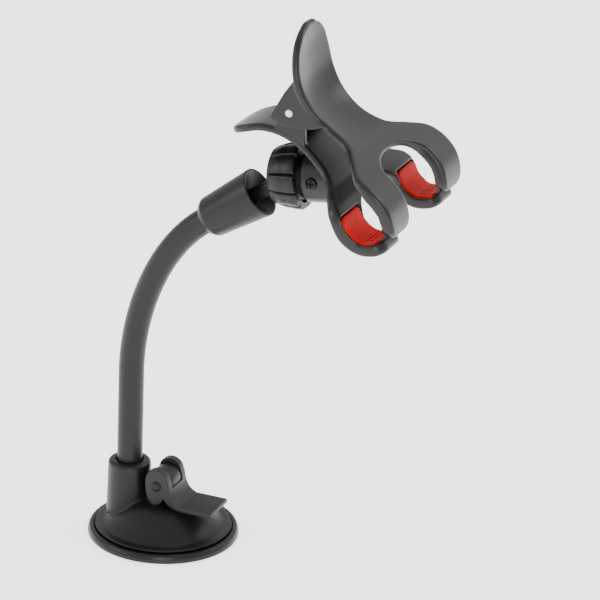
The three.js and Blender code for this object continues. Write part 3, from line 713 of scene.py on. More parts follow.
# ---- Settings
class MountSizes(bpy.types.PropertyGroup):
    shell_top: bpy.props.FloatProperty(
        name="Shell top",
        description="Height of the flat that the lever bears on",
        default=15.3,
        min=8,
    )
    nut_lobes: bpy.props.IntProperty(
        name="Nut lobes",
        description="Finger lobes round the clamp nut",
        default=10,
        min=5,
        max=24,
    )
    stipple_pitch: bpy.props.FloatProperty(
        name="Stipple pitch",
        description="Spacing of the raised dots on the tab",
        default=1.15,
        min=0.5,
    )
    spring_turns: bpy.props.FloatProperty(
        name="Spring turns",
        description="Turns of the jaw's torsion spring",
        default=6.0,
        min=2,
    )


def colour_property(name, description, default):
    settings = {"subtype": "COLOR", "size": 4, "min": 0.0, "max": 1.0}
    return bpy.props.FloatVectorProperty(
        name=name, description=description, default=default + (1.0,), **settings
    )


class MountColours(bpy.types.PropertyGroup):
    shell: colour_property("Shell", "Base shell and head sleeve", (0.0048, 0.005, 0.0047))
    jaws: colour_property("Jaws", "Both jaws of the clip", (0.0085, 0.0083, 0.0072))
    lever: colour_property("Lever", "Release lever", (0.014, 0.014, 0.014))
    rubber: colour_property("Rubber", "Suction cup", (0.006, 0.006, 0.0058))
    sheath: colour_property("Sheath", "Gooseneck sheath", (0.0055, 0.0062, 0.0066))
    inner: colour_property("Inner parts", "Collet, ball and plunger", (0.003, 0.003, 0.0033))
    pads: colour_property("Pads", "Finger pads", (0.55, 0.0004, 0.0003))
    steel: colour_property("Steel", "Pins and spring", (0.62, 0.62, 0.63))


class PieceOperator(bpy.types.Operator):
    """Makes one group of pieces"""

    bl_options = {"REGISTER", "UNDO"}

    def execute(self, context):
        scene = context.scene
        self.build(scene.mount_sizes, scene.mount_colours)
        return {"FINISHED"}


class MOUNT_OT_finishes(PieceOperator):
    """Makes the finishes and puts them on the pieces whose shape is kept"""

    bl_idname = "mount.finishes"
    bl_label = "Finishes"

    def build(self, sizes, colours):
        FINISHES["shell"] = moulded("shell_plastic", colours.shell, 0.4)
        FINISHES["jaw"] = moulded("jaw_plastic", colours.jaws, 0.36, contrast=0.1, coat=0.1)
        FINISHES["lever"] = moulded("lever_plastic", colours.lever, 0.45, grain=0.00005)
        FINISHES["nut"] = moulded("nut_plastic", colours.shell, 0.36)
        FINISHES["inner"] = moulded("inner_plastic", colours.inner, 0.42)
        FINISHES["rubber"] = cup_rubber("cup_rubber", colours.rubber)
        FINISHES["sheath"] = sheath_skin("neck_sheath", colours.sheath)
        FINISHES["pad"] = pad_rubber("pad_rubber", colours.pads)
        FINISHES["steel"] = bright_steel("bright_steel", colours.steel)
        FINISHES["black_screw"] = bright_steel("black_screw", (0.02, 0.02, 0.022), 0.4)
        kept = {"neck_set_screw": "black_screw", "foot_ferrule": "steel", "head_ferrule": "steel"}
        kept["ball_seat"] = "inner"
        kept.update({f"neck_core_{k}": "steel" for k in range(10)})
        for node, finish in kept.items():
            finish_node(node, finish)


class MOUNT_OT_suction_cup(PieceOperator):
    """Rubber rim and the membrane that the plunger lifts"""

    bl_idname = "mount.suction_cup"
    bl_label = "Suction cup"

    def build(self, sizes, colours):
        outer = CUP_RADIUS / MM
        height = RIM_HEIGHT / MM
        inner = outer - RIM_WIDTH
        rim = turned(
            "cup_rim",
            [
                (inner, 0, 0), (inner + 2, 0, 0), (inner + 2.6, 0.25, 0), (inner + 3.2, 0, 0),
                (outer - 2.2, 0, 0.3), (outer, 0.25, 0.5), (outer, 1.9, 0.8),
                (outer - 0.9, height, 1.1), (outer - 2.4, height, 0.4),
                (outer - 2.9, height - 0.5, 0.3), (inner, height - 0.5, 0.2), (inner, 0, 0),
            ],
            segments=160,
        )
        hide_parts("suction_rim")
        edge = inner - SEAT_GAP

        def rise(r):
            return MEMBRANE_RISE * math.cos(math.pi * r / (2 * edge)) ** 2

        under = [(r, MEMBRANE_LIFT + rise(r), 0) for r in spread(0, edge, 22)]
        top = MEMBRANE_LIFT + MEMBRANE_WALL
        over = [(r, top + rise(r) * 0.93, 0) for r in spread(edge, 0, 22)]
        membrane = turned("cup_membrane", under + over, segments=96)
        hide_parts("suction_membrane")
        finish_pieces([rim, membrane], "rubber", "base")
        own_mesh(membrane)


class MOUNT_OT_base_shell(PieceOperator):
    """Bell-shaped shell over the cup with the post that holds the neck"""

    bl_idname = "mount.base_shell"
    bl_label = "Base shell"

    def build(self, sizes, colours):
        edge = SHELL_RADIUS / MM
        foot = RIM_HEIGHT / MM + SEAT_GAP
        flat = SHELL_FLAT_RADIUS
        top = sizes.shell_top

        def height(r):
            fall = min(1.0, max(0.0, (r - flat) / (edge - flat)))
            return foot + (top - foot) * (1 + math.cos(math.pi * fall)) / 2

        outer = [(0, foot, 0), (edge, foot, 0.2), (edge, foot + 0.7, 0.4)]
        outer += [(r, max(height(r), foot + 0.75), 0) for r in spread(edge - 0.8, flat, 34)]
        bell = turned("bell", outer + [(0, top, 0)], segments=160)
        radius = SHEATH_RADIUS / MM + POST_WALL
        bore = SHEATH_RADIUS / MM + SEAT_GAP
        crown = POST_TOP / MM
        place = Matrix.Translation((POST_X, 0, 0))
        rim = [(radius, crown - 1.4, 0), (radius - 0.2, crown - 0.9, 0.3), (radius - 1, crown, 0.5)]
        sides = [(0, foot + 0.4, 0), (radius + 0.5, foot + 0.4, 0), *rim, (0, crown, 0)]
        post = turned("post", sides, place, 128)
        shell = fused(joined("base_shell_piece", [bell, post]), SHELL_VOXEL * MM, 5)
        wall = SHELL_WALL
        inside = edge - wall
        cavity = [(0, -1, 0), (inside, -1, 0)]
        cavity += [(r, min(height(r) - wall, top - wall), 0) for r in spread(inside, 0, 30)]
        cut(shell, turned("cavity", cavity))
        socket = [(0, POST_FLOOR, 0), (bore, POST_FLOOR, 0), (bore, crown - 0.8, 0.3)]
        socket += [(bore + 0.9, crown + 1, 0), (0, crown + 1, 0)]
        cut(shell, turned("bore", socket, place, 96))
        cut(shell, turned("guide", rod(GUIDE_RADIUS, 5, top + 1)))
        screw = Matrix.Translation((POST_X, 0, SET_SCREW_HEIGHT * MM))
        screw = screw @ Matrix.Rotation(-math.pi / 2, 4, "Y")
        cut(shell, turned("screw_way", rod(SET_SCREW_HOLE, 0, radius + 3), screw, 32))
        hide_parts("base_shell")
        finish_pieces([shell], "shell", "base")


class MOUNT_OT_lever(PieceOperator):
    """Release lever with its cams and stippled tab, its pin, and the plunger between its ears"""

    bl_idname = "mount.lever"
    bl_label = "Lever and plunger"

    def build(self, sizes, colours):
        pin_z = LEVER_PIN.z / MM
        half = box_size("release_lever")[1] / MM / 2
        reach = CAM_REACH
        top = -(reach - 1.35)
        root, end = TAB_ROOT, TAB_ROOT + TAB_LENGTH
        under = top - TAB_THICKNESS
        ear = spline(
            [
                (-1.5, 0, -reach), (-4, 0, -6), (-5, 0, -1), (-5, 0, 3), (-3.6, 0, 6.2),
                (0, 0, 7.6), (3.8, 0, 6), (5.6, 0, 2), (6.6, 0, -2.4), (8.6, 0, -5.6),
                (root, 0, top),
            ],
            6,
        )
        outline = [(p.x, p.z) for p in ear]
        outline += [(end - 1, top), (end - 0.3, top - 0.2), (end, top - 0.9)]
        outline += [(end - 0.2, under + 0.5), (end - 0.8, under), (root + 1, under)]
        back = bezier([(root + 1, 0, under), (8, 0, under), (5.2, 0, -8), (3.4, 0, -5.4)], 8)
        outline += [(p.x, p.z) for p in back[1:]]
        foot = bezier([(3.4, 0, -5.4), (2.8, 0, -7.4), (1, 0, -reach), (-1.5, 0, -reach)], 8)
        outline += [(p.x, p.z) for p in foot]
        outline = [(x, z + pin_z) for x, z in outline]
        lever = slab("lever_piece", outline, -half, half, 0.7, 4)
        low, high = pin_z - 14, pin_z + 12
        gap = [(-12, low), (SLOT_FRONT, low), (SLOT_FRONT, high), (-12, high)]
        cut(lever, slab("slot", gap, -EAR_GAP / 2, EAR_GAP / 2, 0))
        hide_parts("release_lever")
        finish_pieces([lever], "lever", "lever")
        height = pin_z + top - DOT_SINK
        stipple = self.stipple(sizes, root + 1.2, end - 1.2, half - 1.4, height)
        finish_pieces([stipple], "lever", "lever")
        shaft = LEVER_PIN_RADIUS
        head = shaft + 0.9
        pin = turned(
            "lever_pin_piece",
            [
                (0, -half - 1, 0), (head * 0.7, -half - 0.95, 0.8), (head, -half - 0.3, 0.2),
                (shaft, -half - 0.3, 0), (shaft, half + 0.2, 0), (shaft - 0.3, half + 0.6, 0.2),
                (0, half + 0.6, 0),
            ],
            along_y(LEVER_PIN, 1),
            48,
        )
        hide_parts("lever_pin")
        finish_pieces([pin], "inner", "lever")
        self.plunger(pin_z)

    def stipple(self, sizes, low, high, half, height):
        """Raised dots in a regular grid on the tab's upper face."""
        tree, entry, finished = piece_tree("tab_stipple", ("Length", "Width", "Pitch", "Dot"))
        grid = tree.nodes.new("GeometryNodeMeshGrid")
        dot = tree.nodes.new("GeometryNodeMeshIcoSphere")
        spread_dots = tree.nodes.new("GeometryNodeInstanceOnPoints")
        squeeze = tree.nodes.new("FunctionNodeInputVector")
        squeeze.vector = (1.0, 1.0, 0.7)
        dot.inputs["Subdivisions"].default_value = 2
        link = tree.links.new
        for side, size in (("X", "Length"), ("Y", "Width")):
            link(entry.outputs[size], grid.inputs[f"Size {side}"])
            share = tree.nodes.new("ShaderNodeMath")
            share.operation = "DIVIDE"
            link(entry.outputs[size], share.inputs[0])
            link(entry.outputs["Pitch"], share.inputs[1])
            link(share.outputs[0], grid.inputs[f"Vertices {side}"])
        link(entry.outputs["Dot"], dot.inputs["Radius"])
        link(grid.outputs["Mesh"], spread_dots.inputs["Points"])
        link(dot.outputs["Mesh"], spread_dots.inputs["Instance"])
        link(squeeze.outputs[0], spread_dots.inputs["Scale"])
        link(spread_dots.outputs[0], finished)
        values = {
            "Length": (high - low) * MM,
            "Width": 2 * half * MM,
            "Pitch": sizes.stipple_pitch * MM,
            "Dot": DOT_RADIUS * MM,
            "Finish": FINISHES["lever"],
        }
        piece = from_nodes("tab_stipple", tree, values)
        middle = Vector(((low + high) / 2, 0, height)) * MM
        piece.data.transform(Matrix.Translation(middle))
        return piece

    def plunger(self, pin_z):
        stem = turned(
            "plunger_piece",
            [
                (0, FOOT_LOW, 0), (FOOT_RADIUS, FOOT_LOW, 0.5), (FOOT_RADIUS, FOOT_TOP, 0.5),
                (STEM_RADIUS, FOOT_TOP, 0.8), (STEM_RADIUS, pin_z - 4, 0), (0, pin_z - 4, 0),
            ],
        )
        head = STEM_HEAD_RADIUS
        outline = [(-head, pin_z - head), (head, pin_z - head)] + arc((0, pin_z), head, 0, 180, 24)
        lug = slab("lug", outline, -STEM_HEAD_WIDTH / 2, STEM_HEAD_WIDTH / 2, 0.6)
        plunger = joined("plunger_piece", [stem, lug])
        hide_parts("plunger")
        finish_pieces([plunger], "inner", "plunger")


def along_y(origin, sense=1):
    """A placement whose +Z is the row's +Y, or -Y where the sense is -1."""
    return Matrix.Translation(origin) @ Matrix.Rotation(-sense * math.pi / 2, 4, "X")


def plain_mesh(piece):
    """The mesh of a piece with its modifiers' result in it."""
    bpy.context.view_layer.update()
    graph = bpy.context.evaluated_depsgraph_get()
    return bpy.data.meshes.new_from_object(piece.evaluated_get(graph))


def piece_tree(name, sizes):
    """A Geometry Nodes tree with inputs for sizes and a finish. Returns it with its input node and
    the socket that takes the geometry, which is made real and given the finish."""
    tree = bpy.data.node_groups.new(name, "GeometryNodeTree")
    face = tree.interface
    face.new_socket("Geometry", in_out="OUTPUT", socket_type="NodeSocketGeometry")
    for size in sizes:
        face.new_socket(size, in_out="INPUT", socket_type="NodeSocketFloat")
    face.new_socket("Finish", in_out="INPUT", socket_type="NodeSocketMaterial")
    entry = tree.nodes.new("NodeGroupInput")
    real = tree.nodes.new("GeometryNodeRealizeInstances")
    paint = tree.nodes.new("GeometryNodeSetMaterial")
    leave = tree.nodes.new("NodeGroupOutput")
    tree.links.new(real.outputs[0], paint.inputs["Geometry"])
    tree.links.new(entry.outputs["Finish"], paint.inputs["Material"])
    tree.links.new(paint.outputs[0], leave.inputs[0])
    return tree, entry, real.inputs[0]


def from_nodes(name, tree, values):
    """The plain mesh that a Geometry Nodes tree makes with these input values."""
    piece = bpy.data.objects.new(name, bpy.data.meshes.new(name))
    bpy.context.scene.collection.objects.link(piece)
    modifier = piece.modifiers.new("Nodes", "NODES")
    modifier.node_group = tree
    for item in tree.interface.items_tree:
        if item.item_type == "SOCKET" and item.in_out == "INPUT" and item.name in values:
            modifier[item.identifier] = values[item.name]
    made = plain_mesh(piece)
    piece.modifiers.clear()
    piece.data = made
    smooth(piece)
    return piece


# ---- Gooseneck
def nearest_point(points, spot):
    """The index of the point nearest to a spot."""
    return min(range(len(points)), key=lambda i: (points[i] - spot).length)


def neck_points():
    """The neck's centre line from the post's socket to the sleeve, in millimetres."""
    head = HEAD_AXIS
    ball = BALL / MM
    rear = ball + head * SLEEVE_REAR
    x = POST_X / MM
    start = Vector((x, 0, NECK_FOOT))
    points = [start + Vector((0, 0, BEND_START - NECK_FOOT)) * k / 60 for k in range(60)]
    foot_handle = Vector((x, 0, BEND_START + BEND_FOOT_PULL))
    head_handle = rear - head * BEND_HEAD_PULL
    points += bezier([Vector((x, 0, BEND_START)), foot_handle, head_handle, rear], 120)
    points += [rear + head * (13.0 * k / 16) for k in range(17)]
    return points


class MOUNT_OT_gooseneck(PieceOperator):
    """Smooth sheath over the neck's core, one stretch for each hinge"""

    bl_idname = "mount.gooseneck"
    bl_label = "Gooseneck sheath"

    def build(self, sizes, colours):
        points = neck_points()
        runs = [0.0]
        for a, b in zip(points, points[1:]):
            runs.append(runs[-1] + (b - a).length)
        hinges = [j for j in frame["joints"] if j["name"].startswith("neck_")]
        spots = [Vector(j["pos_m"]) / MM for j in hinges]
        nearest = [nearest_point(points, spot) for spot in spots]
        at = [runs[i] for i in nearest]
        foot = POST_TOP / MM - NECK_FOOT
        ends = [foot - SHEATH_SEAT] + [(a + b) / 2 for a, b in zip(at, at[1:])] + [runs[-1] - 8]
        for k, hinge in enumerate(hinges):
            piece = self.stretch(f"sheath_{k + 1}", points, runs, ends[k], ends[k + 1])
            nodes = [f"neck_sheath_{k}"]
            if k == len(hinges) - 1:
                nodes.append(f"neck_sheath_{k + 1}")
            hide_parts(*nodes)
            finish_pieces([piece], "sheath")
            tangent = (points[nearest[k] + 1] - points[nearest[k] - 1]).normalized()
            start = (spots[k] - tangent * BEND_REACH) * MM
            end = (spots[k] + tangent * BEND_REACH) * MM
            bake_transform(piece)

    def stretch(self, name, points, runs, low, high):
        """A tube along the centre line, hollow for the core, with its distance stored as `run`."""
        outer = SHEATH_RADIUS / MM
        sides = 64
        count = max(12, int((high - low) / 0.8))
        made = bmesh.new()
        run_of = made.verts.layers.float.new("run")
        rings = []
        for k in range(count + 1):
            run = low + (high - low) * k / count
            i = max(j for j in range(len(runs) - 1) if runs[j] <= run)
            centre = points[i].lerp(points[i + 1], (run - runs[i]) / (runs[i + 1] - runs[i]))
            before, after = points[max(i - 1, 0)], points[min(i + 2, len(points) - 1)]
            tangent = (after - before).normalized()
            across = Vector((tangent.z, 0, -tangent.x))
            pair = []
            for radius in (outer, SHEATH_BORE):
                ring = []
                for n in range(sides):
                    angle = TURN * n / sides
                    offset = across * math.cos(angle) + Vector((0, 1, 0)) * math.sin(angle)
                    vertex = made.verts.new((centre + offset * radius) * MM)
                    vertex[run_of] = run
                    ring.append(vertex)
                pair.append(ring)
            rings.append(pair)
        for a, b in zip(rings, rings[1:]):
            for n in range(sides):
                m = (n + 1) % sides
                made.faces.new([a[0][n], a[0][m], b[0][m], b[0][n]])
                made.faces.new([a[1][m], a[1][n], b[1][n], b[1][m]])
        for outer_ring, inner_ring in (rings[0], rings[-1]):
            for n in range(sides):
                m = (n + 1) % sides
                made.faces.new([outer_ring[n], inner_ring[n], inner_ring[m], outer_ring[m]])
        return new_piece(name, made)


class MOUNT_OT_head(PieceOperator):
    """Head sleeve with its flared mouth, and the ball stud"""

    bl_idname = "mount.head"
    bl_label = "Head sleeve and ball"

    def build(self, sizes, colours):
        rear, mouth = SLEEVE_REAR, SLEEVE_MOUTH
        bore = SHEATH_RADIUS / MM + SEAT_GAP
        shank = STUD_SHANK_RADIUS + SEAT_GAP
        sleeve = turned(
            "sleeve_piece",
            [
                (bore, rear, 0.2), (6.95, rear, 0.5), (8.7, rear + 2.6, 0.5), (10.5, mouth, 0.45),
                (9.5, mouth, 0.35), (shank, mouth - 6, 0.6), (shank, SLEEVE_FLOOR, 0),
                (bore, SLEEVE_FLOOR, 0), (bore, rear, 0.2),
            ],
            HEAD,
            128,
        )
        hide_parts("head_sleeve")
        finish_pieces([sleeve], "shell", "head")
        ball = BALL_RADIUS
        neck = BALL_NECK_RADIUS
        shank = STUD_SHANK_RADIUS
        start = math.asin(neck / ball)
        curve = [(ball * math.sin(a), -ball * math.cos(a), 0) for a in spread(start, math.pi, 40)]
        stud = turned(
            "stud_piece",
            [(0, STUD_END, 0), (shank, STUD_END, 0.3), (shank, -22.8, 0.2), (neck, -21.3, 0.5)]
            + curve[:-1]
            + [(0, ball, 0)],
            HEAD,
            96,
        )
        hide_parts("ball_stud")
        finish_pieces([stud], "inner", "ball")


class MOUNT_OT_clamp_nut(PieceOperator):
    """Lobed clamp nut, the collet behind it and the barrel's screw"""

    bl_idname = "mount.clamp_nut"
    bl_label = "Clamp nut and collet"

    def build(self, sizes, colours):
        rear, front = NUT_REAR, NUT_FRONT
        bore = NUT_BORE
        lip = NUT_LIP
        lobes = sizes.nut_lobes

        def lobed(angle, radius, height):
            """Grooves between the lobes, left out of the bore."""
            if radius < bore + 0.05:
                return 1.0
            phase = (angle * lobes / TURN) % 1.0
            crown = 1 - 0.022 * (2 * phase - 1) ** 2
            groove = math.exp(-((min(phase, 1 - phase) / 0.055) ** 2))
            fade = min(1.0, max(0.0, (height - rear - 0.6) / 2.0))
            return crown - 0.075 * groove * fade

        profile = [
            (bore, lip, 0), (6.9, lip, 0.2), (8.9, rear + 0.01, 0.3), (10.2, rear, 0.4),
            (11.7, rear + 1, 0.8),
        ]
        for t in spread(0, 1, 9):
            profile.append((11.7 + 1.6 * math.sin(t * math.pi / 2), rear + 1.4 + 6 * t, 0))
        profile += [
            (13.75, front - 3.0, 0.8), (13.9, front - 0.9, 0.7), (13.3, front, 0.4),
            (bore, front, 0.3), (bore, lip, 0),
        ]
        nut = turned("nut_piece", profile, CLIP, 600, lobed)
        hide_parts("clamp_nut")
        finish_pieces([nut], "nut", "nut")
        wall, back, step, end = 9, -4.8, 4.4, 16
        collet = turned(
            "collet_piece",
            [
                (wall, back, 0.2), (10.5, back, 0.3), (10.5, step, 0.3), (8.8, step + 0.8, 0.2),
                (8.8, end, 0.3), (0, end, 0), (0, 7.8, 0), (4.4, 6.3, 0), (6.4, step, 0.2),
                (wall, step, 0), (wall, back, 0.2),
            ],
            CLIP,
            96,
        )
        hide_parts("ball_collet")
        finish_pieces([collet], "inner", "clip")
        self.screw()

    def screw(self):
        seat = SIDE_SCREW_SEAT
        place = along_y(SIDE_SCREW, -1)
        head = turned(
            "screw_piece",
            [
                (0, 3, 0), (1.3, 3, 0), (1.3, seat, 0), (2.4, seat + 0.3, 0.1),
                (2.4, seat + 1.0, 0.3), (1.7, seat + 1.6, 0.5), (0, seat + 1.75, 0),
            ],
            place,
            64,
        )
        arms = []
        for length, width in ((2.8, 0.62), (0.62, 2.8)):
            made = bmesh.new()
            bmesh.ops.create_cube(made, size=1.0)
            made.transform(Matrix.Diagonal((length * MM, width * MM, 2 * MM, 1)))
            made.transform(place @ Matrix.Translation((0, 0, (seat + 1.75) * MM)))
            arms.append(new_piece("arm", made))
        for arm in arms:
            cut(head, arm)
        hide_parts("barrel_screw")
        finish_pieces([head], "black_screw", "clip")


class MOUNT_OT_jaws(PieceOperator):
    """Both jaws: dished thumb paddle, forked fingers, pivot cheeks and the barrel"""

    bl_idname = "mount.jaws"
    bl_label = "Jaws"

    def build(self, sizes, colours):
        self.front()
        self.back()

    def front(self):
        line = EdgeLine(FRONT_EDGE, FRONT_CROTCH, FRONT_WALL)

        def dish(s, y):
            """Hollows the thumb paddle and rounds the shoulders a little."""
            width = max(line.place(min(s, line.length)).y, 1.0)
            across = max(0.0, 1 - (y / (width * 0.9)) ** 2)
            fade = min(1.0, s / 8.0) * min(1.0, max(0.0, (58.0 - s) / 22.0))
            return 1.5 * across * fade

        jaw = bent_jaw("front_jaw_piece", line, "front", dish)
        low, high = CHEEK_INNER, CHEEK_OUTER
        outline = [
            (2.1, 14.8), (-2.4, 8.3), (-5.4, 2.8), (-7.8, -1.4), (-8.2, -3.4), (-5.6, -4.6),
            (-1.2, -6), (4.6, -6.2), (10.6, -5.2), (14.6, -3.8), (15.6, -3.2), (11.4, -0.8),
            (7.6, 3), (4.6, 7.8), (3.4, 12.8),
        ]
        cheek = [(PIVOT.x / MM + x, PIVOT.z / MM + z) for x, z in outline]
        cheeks = [slab("cheek", cheek, a, b, 0.35) for a, b in ((low, high), (-high, -low))]
        jaw = fused(joined("front_jaw_piece", [jaw] + cheeks), 0.5 * MM, 3, 0.4)
        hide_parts("front_jaw")
        finish_pieces([jaw], "jaw", "front_jaw")

    def back(self):
        line = EdgeLine(BACK_EDGE, BACK_CROTCH, BACK_WALL)
        jaw = bent_jaw("back_jaw_piece", line, "back", lambda s, y: 0.0)
        barrel = self.barrel(line)
        ears = []
        x, z = PIVOT.x / MM, PIVOT.z / MM
        foot = [(x - 7.2, z - 9.6), (x + 6.2, z - 12.6)]
        outline = arc((x, z), EAR_RADIUS, 0, 180, 20) + foot
        for side in (1, -1):
            a, b = sorted((side * EAR_OUTER, side * (EAR_OUTER - EAR_THICKNESS)))
            ears.append(slab("ear", outline, a, b, 0.4))
        jaw = fused(joined("back_jaw_piece", [jaw, barrel] + ears), 0.5 * MM, 3, 0.4)
        counterbore = turned(
            "counterbore",
            rod(2.6, SIDE_SCREW_SEAT, 14),
            along_y(SIDE_SCREW, -1),
            48,
        )
        cut(jaw, counterbore)
        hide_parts("back_jaw")
        finish_pieces([jaw], "jaw", "clip")

    def barrel(self, line):
        """The socket barrel, shut at its front end and trimmed to just behind the jaw's face."""
        inner, outer, start, floor, end = 9.1, 10.6, 7.2, 16.3, 24.0
        ring = [(outer - 0.5, start), (outer, start + 0.5)]
        ring += [(outer, h) for h in spread(start + 1, end - 2, 40)]
        for a in spread(0.3, 1.57, 5):
            ring.append((outer - 2 + 2 * math.cos(a), end - 2 + 2 * math.sin(a)))
        ring += [(r, end) for r in spread(outer - 2.6, 0, 18)]
        bore = [(0, floor), (inner - 0.01, floor), (inner, floor - 0.05), (inner, start)]
        profile = [(r, h, 0) for r, h in bore + ring + [(0, end)]]
        barrel = turned("barrel", profile, CLIP, 96)
        for vertex in barrel.data.vertices:
            spot = vertex.co / MM
            excess = 0.45 * line.wall - depth_in(line, spot)
            u = (vertex.co - BALL).dot(CLIP_AXIS) / MM
            if u > start + 1 and excess > 0:
                vertex.co -= CLIP_AXIS * min(excess * 1.4, u - start - 1) * MM
        return barrel


def depth_in(line, spot):
    """How deep a point lies behind the jaw's face; negative in front of it. Millimetres."""
    best = min(
        range(len(line.points)),
        key=lambda i: (line.points[i].x - spot.x) ** 2 + (line.points[i].z - spot.z) ** 2,
    )
    face = line.points[best]
    inward = line.inward(line.steps[best])
    return (spot.x - face.x) * inward.x + (spot.z - face.z) * inward.z


class MOUNT_OT_pads(PieceOperator):
    """Red rubber pads on the fingers, with small dimples near their ends"""

    bl_idname = "mount.pads"
    bl_label = "Finger pads"

    def build(self, sizes, colours):
        front = EdgeLine(FRONT_EDGE, FRONT_CROTCH, FRONT_WALL)
        back = EdgeLine(BACK_EDGE, BACK_CROTCH, BACK_WALL)
        seats = {"front": (front, FRONT_WALL + SEAT_GAP, 1), "back": (back, -SEAT_GAP, -1)}
        for jaw, (line, depth, sense) in seats.items():
            body = "clip" if jaw == "back" else "front_jaw"
            low, high = (line.at_fraction(share) for share in PADS[jaw])
            for hand, side in (("left", 1), ("right", -1)):
                pad = self.pad(f"{jaw}_{hand}_pad", line, low, high, depth, side, sense)
                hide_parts(f"{jaw}_pad_{hand}")
                finish_pieces([pad], "pad", body)

    def pad(self, name, line, low, high, depth, side, sense):
        """A rounded strip of rubber with a soft rim and a few small dimples near its end."""
        inner, outer = PAD_INNER, PAD_OUTER
        corner = PAD_CORNER
        outline = []
        for cx, cy, start in (
            (high - corner, outer - corner, 0), (low + corner, outer - corner, 90),
            (low + corner, inner + corner, 180), (high - corner, inner + corner, 270),
        ):
            outline += arc((cx, cy), corner, start, start + 90, 8)
        blank = slab(name, outline, 0.0, PAD_THICKNESS, 0.5, 3)
        fused(blank, 0.3 * MM, 3)
        rows, columns = range(3), range(5)
        dimples = [(high - 2.2 - 2.1 * i, inner + 3.2 + 2.7 * k) for i in rows for k in columns]
        for vertex in blank.data.vertices:
            s, rise, y = (value / MM for value in vertex.co)
            top = ease(rise / PAD_THICKNESS)
            near = min(math.hypot(s - a, y - b) for a, b in dimples)
            rise -= 0.45 * top * ease(1.25 - near / 0.8)
            width = line.place(min(s, line.steps[-1])).y
            y = inner + (y - inner) * (width - PAD_INSET - inner) / (outer - inner)
            vertex.co = line.bend(s, side * y, depth + sense * rise) * MM
        if side * sense < 0:
            blank.data.flip_normals()
        return blank


class MOUNT_OT_pivot(PieceOperator):
    """Pivot pin and the torsion spring round it"""

    bl_idname = "mount.pivot"
    bl_label = "Pivot pin and spring"

    def build(self, sizes, colours):
        half = CHEEK_OUTER
        radius = PIVOT_PIN_RADIUS
        pin = turned(
            "pivot_pin_piece",
            [
                (0, -half - 0.3, 0), (radius - 0.25, -half - 0.3, 0.2), (radius, -half, 0.1),
                (radius, half, 0.1), (radius - 0.25, half + 0.3, 0.2), (0, half + 0.3, 0),
            ],
            along_y(PIVOT),
            48,
        )
        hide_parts("pivot_pin")
        finish_pieces([pin], "steel", "clip")
        spring = self.spring(sizes.spring_turns)
        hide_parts("jaw_spring")
        finish_pieces([spring], "steel")
        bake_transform(spring)

    def spring(self, turns):
        """Wire wound round the pin by a spiral curve, swept with a round section."""
        tree, entry, finished = piece_tree("torsion_coil", ("Turns", "Radius", "Length", "Wire"))
        coil = tree.nodes.new("GeometryNodeCurveSpiral")
        coil.inputs["Resolution"].default_value = 40
        section = tree.nodes.new("GeometryNodeCurvePrimitiveCircle")
        section.inputs["Resolution"].default_value = 14
        sweep = tree.nodes.new("GeometryNodeCurveToMesh")
        sweep.inputs["Fill Caps"].default_value = True
        link = tree.links.new
        link(entry.outputs["Turns"], coil.inputs["Rotations"])
        link(entry.outputs["Radius"], coil.inputs["Start Radius"])
        link(entry.outputs["Radius"], coil.inputs["End Radius"])
        link(entry.outputs["Length"], coil.inputs["Height"])
        link(entry.outputs["Wire"], section.inputs["Radius"])
        link(coil.outputs["Curve"], sweep.inputs["Curve"])
        link(section.outputs["Curve"], sweep.inputs["Profile Curve"])
        link(sweep.outputs["Mesh"], finished)
        values = {
            "Turns": turns,
            "Radius": SPRING_RADIUS * MM,
            "Length": SPRING_LENGTH * MM,
            "Wire": SPRING_WIRE * MM,
            "Finish": FINISHES["steel"],
        }
        piece = from_nodes("torsion_coil", tree, values)
        foot = Matrix.Translation((0, 0, -SPRING_LENGTH / 2 * MM))
        piece.data.transform(along_y(PIVOT) @ foot)
        return piece


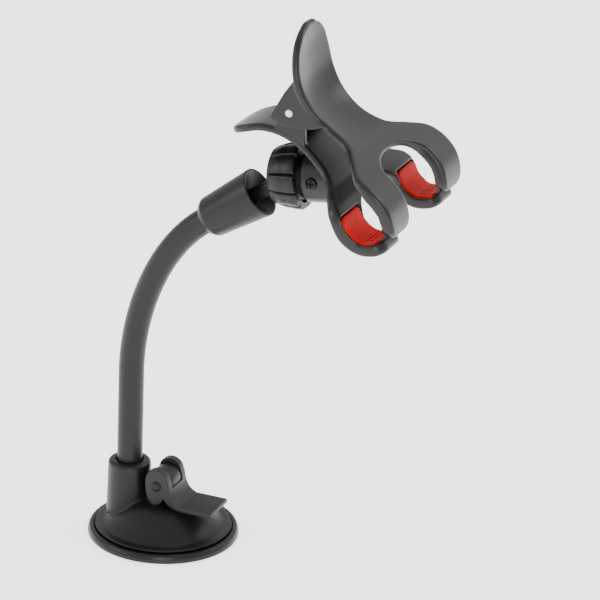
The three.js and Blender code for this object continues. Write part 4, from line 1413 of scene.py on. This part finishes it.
class MOUNT_OT_stage(PieceOperator):
    """Pale floor, soft lights and the camera"""

    bl_idname = "mount.stage"
    bl_label = "Stage"

    def build(self, sizes, colours):
        made = bmesh.new()
        bmesh.ops.create_grid(made, x_segments=1, y_segments=1, size=6.0)
        floor = new_piece("floor", made)
        floor.data.transform(Matrix.Translation((0, 0, -FLOOR_DROP)))
        floor.data.materials.append(pale_floor("pale_floor", (0.9, 0.9, 0.9)))
        self.world()
        self.light("key_light", (-0.95, -0.75, 0.6), 0.5, 5.0)
        self.light("front_light", (0.5, -1.2, 0.45), 0.3, 5.0)
        self.light("rim_light", (0.7, 0.6, 0.9), 0.5, 4.0)
        self.camera()

    def world(self):
        world = bpy.data.worlds.new("studio")
        bpy.context.scene.world = world
        world.use_nodes = True
        background = world.node_tree.nodes["Background"]
        background.inputs["Color"].default_value = (1.0, 1.0, 1.0, 1.0)
        background.inputs["Strength"].default_value = WORLD_STRENGTH

    def light(self, name, place, size, power):
        data = bpy.data.lights.new(name, "AREA")
        data.shape = "SQUARE"
        data.size = size
        data.energy = power
        lamp = bpy.data.objects.new(name, data)
        bpy.context.scene.collection.objects.link(lamp)
        lamp.location = place
        aim = LIGHT_TARGET - Vector(place)
        lamp.rotation_euler = aim.to_track_quat("-Z", "Y").to_euler()

    def camera(self):
        azimuth, elevation, roll = (math.radians(angle) for angle in CAMERA_ANGLES)
        level = math.cos(elevation)
        sideways, towards = math.sin(azimuth) * level, -math.cos(azimuth) * level
        back = Vector((sideways, towards, math.sin(elevation)))
        right = Vector((math.cos(azimuth), math.sin(azimuth), 0))
        up = back.cross(right)
        rolled_right = right * math.cos(roll) + up * math.sin(roll)
        rolled_up = up * math.cos(roll) - right * math.sin(roll)
        data = bpy.data.cameras.new("camera")
        data.sensor_width = 36.0
        data.lens = CAMERA_LENS
        data.clip_start = 0.05
        camera = bpy.data.objects.new("camera", data)
        bpy.context.scene.collection.objects.link(camera)
        turn = Matrix((rolled_right, rolled_up, back)).transposed().to_4x4()
        place = Vector(CAMERA_TARGET) + back * CAMERA_DISTANCE
        camera.matrix_world = Matrix.Translation(place) @ turn
        bpy.context.scene.camera = camera


OPERATORS = (
    MOUNT_OT_stage,
    MOUNT_OT_finishes,
    MOUNT_OT_suction_cup,
    MOUNT_OT_base_shell,
    MOUNT_OT_lever,
    MOUNT_OT_gooseneck,
    MOUNT_OT_head,
    MOUNT_OT_clamp_nut,
    MOUNT_OT_jaws,
    MOUNT_OT_pads,
    MOUNT_OT_pivot,
)


class MOUNT_PT_panel(bpy.types.Panel):
    """Lists the mount's settings and the operators that make it"""

    bl_label = "Phone Mount"
    bl_idname = "MOUNT_PT_panel"
    bl_space_type = "VIEW_3D"
    bl_region_type = "UI"
    bl_category = "Phone Mount"

    def draw(self, context):
        for group in (context.scene.mount_sizes, context.scene.mount_colours):
            for key in group.bl_rna.properties.keys():
                if key not in ("rna_type", "name"):
                    self.layout.prop(group, key)
        for operator in OPERATORS:
            self.layout.operator(operator.bl_idname)


CLASSES = (MountSizes, MountColours, *OPERATORS, MOUNT_PT_panel)


def register():
    for cls in CLASSES:
        bpy.utils.register_class(cls)
    bpy.types.Scene.mount_sizes = bpy.props.PointerProperty(type=MountSizes)
    bpy.types.Scene.mount_colours = bpy.props.PointerProperty(type=MountColours)


def unregister():
    del bpy.types.Scene.mount_sizes
    del bpy.types.Scene.mount_colours
    for cls in reversed(CLASSES):
        bpy.utils.unregister_class(cls)


def main():
    register()
    for operator in OPERATORS:
        group, name = operator.bl_idname.split(".")
        getattr(getattr(bpy.ops, group), name)()


if __name__ == "__main__":
    main()
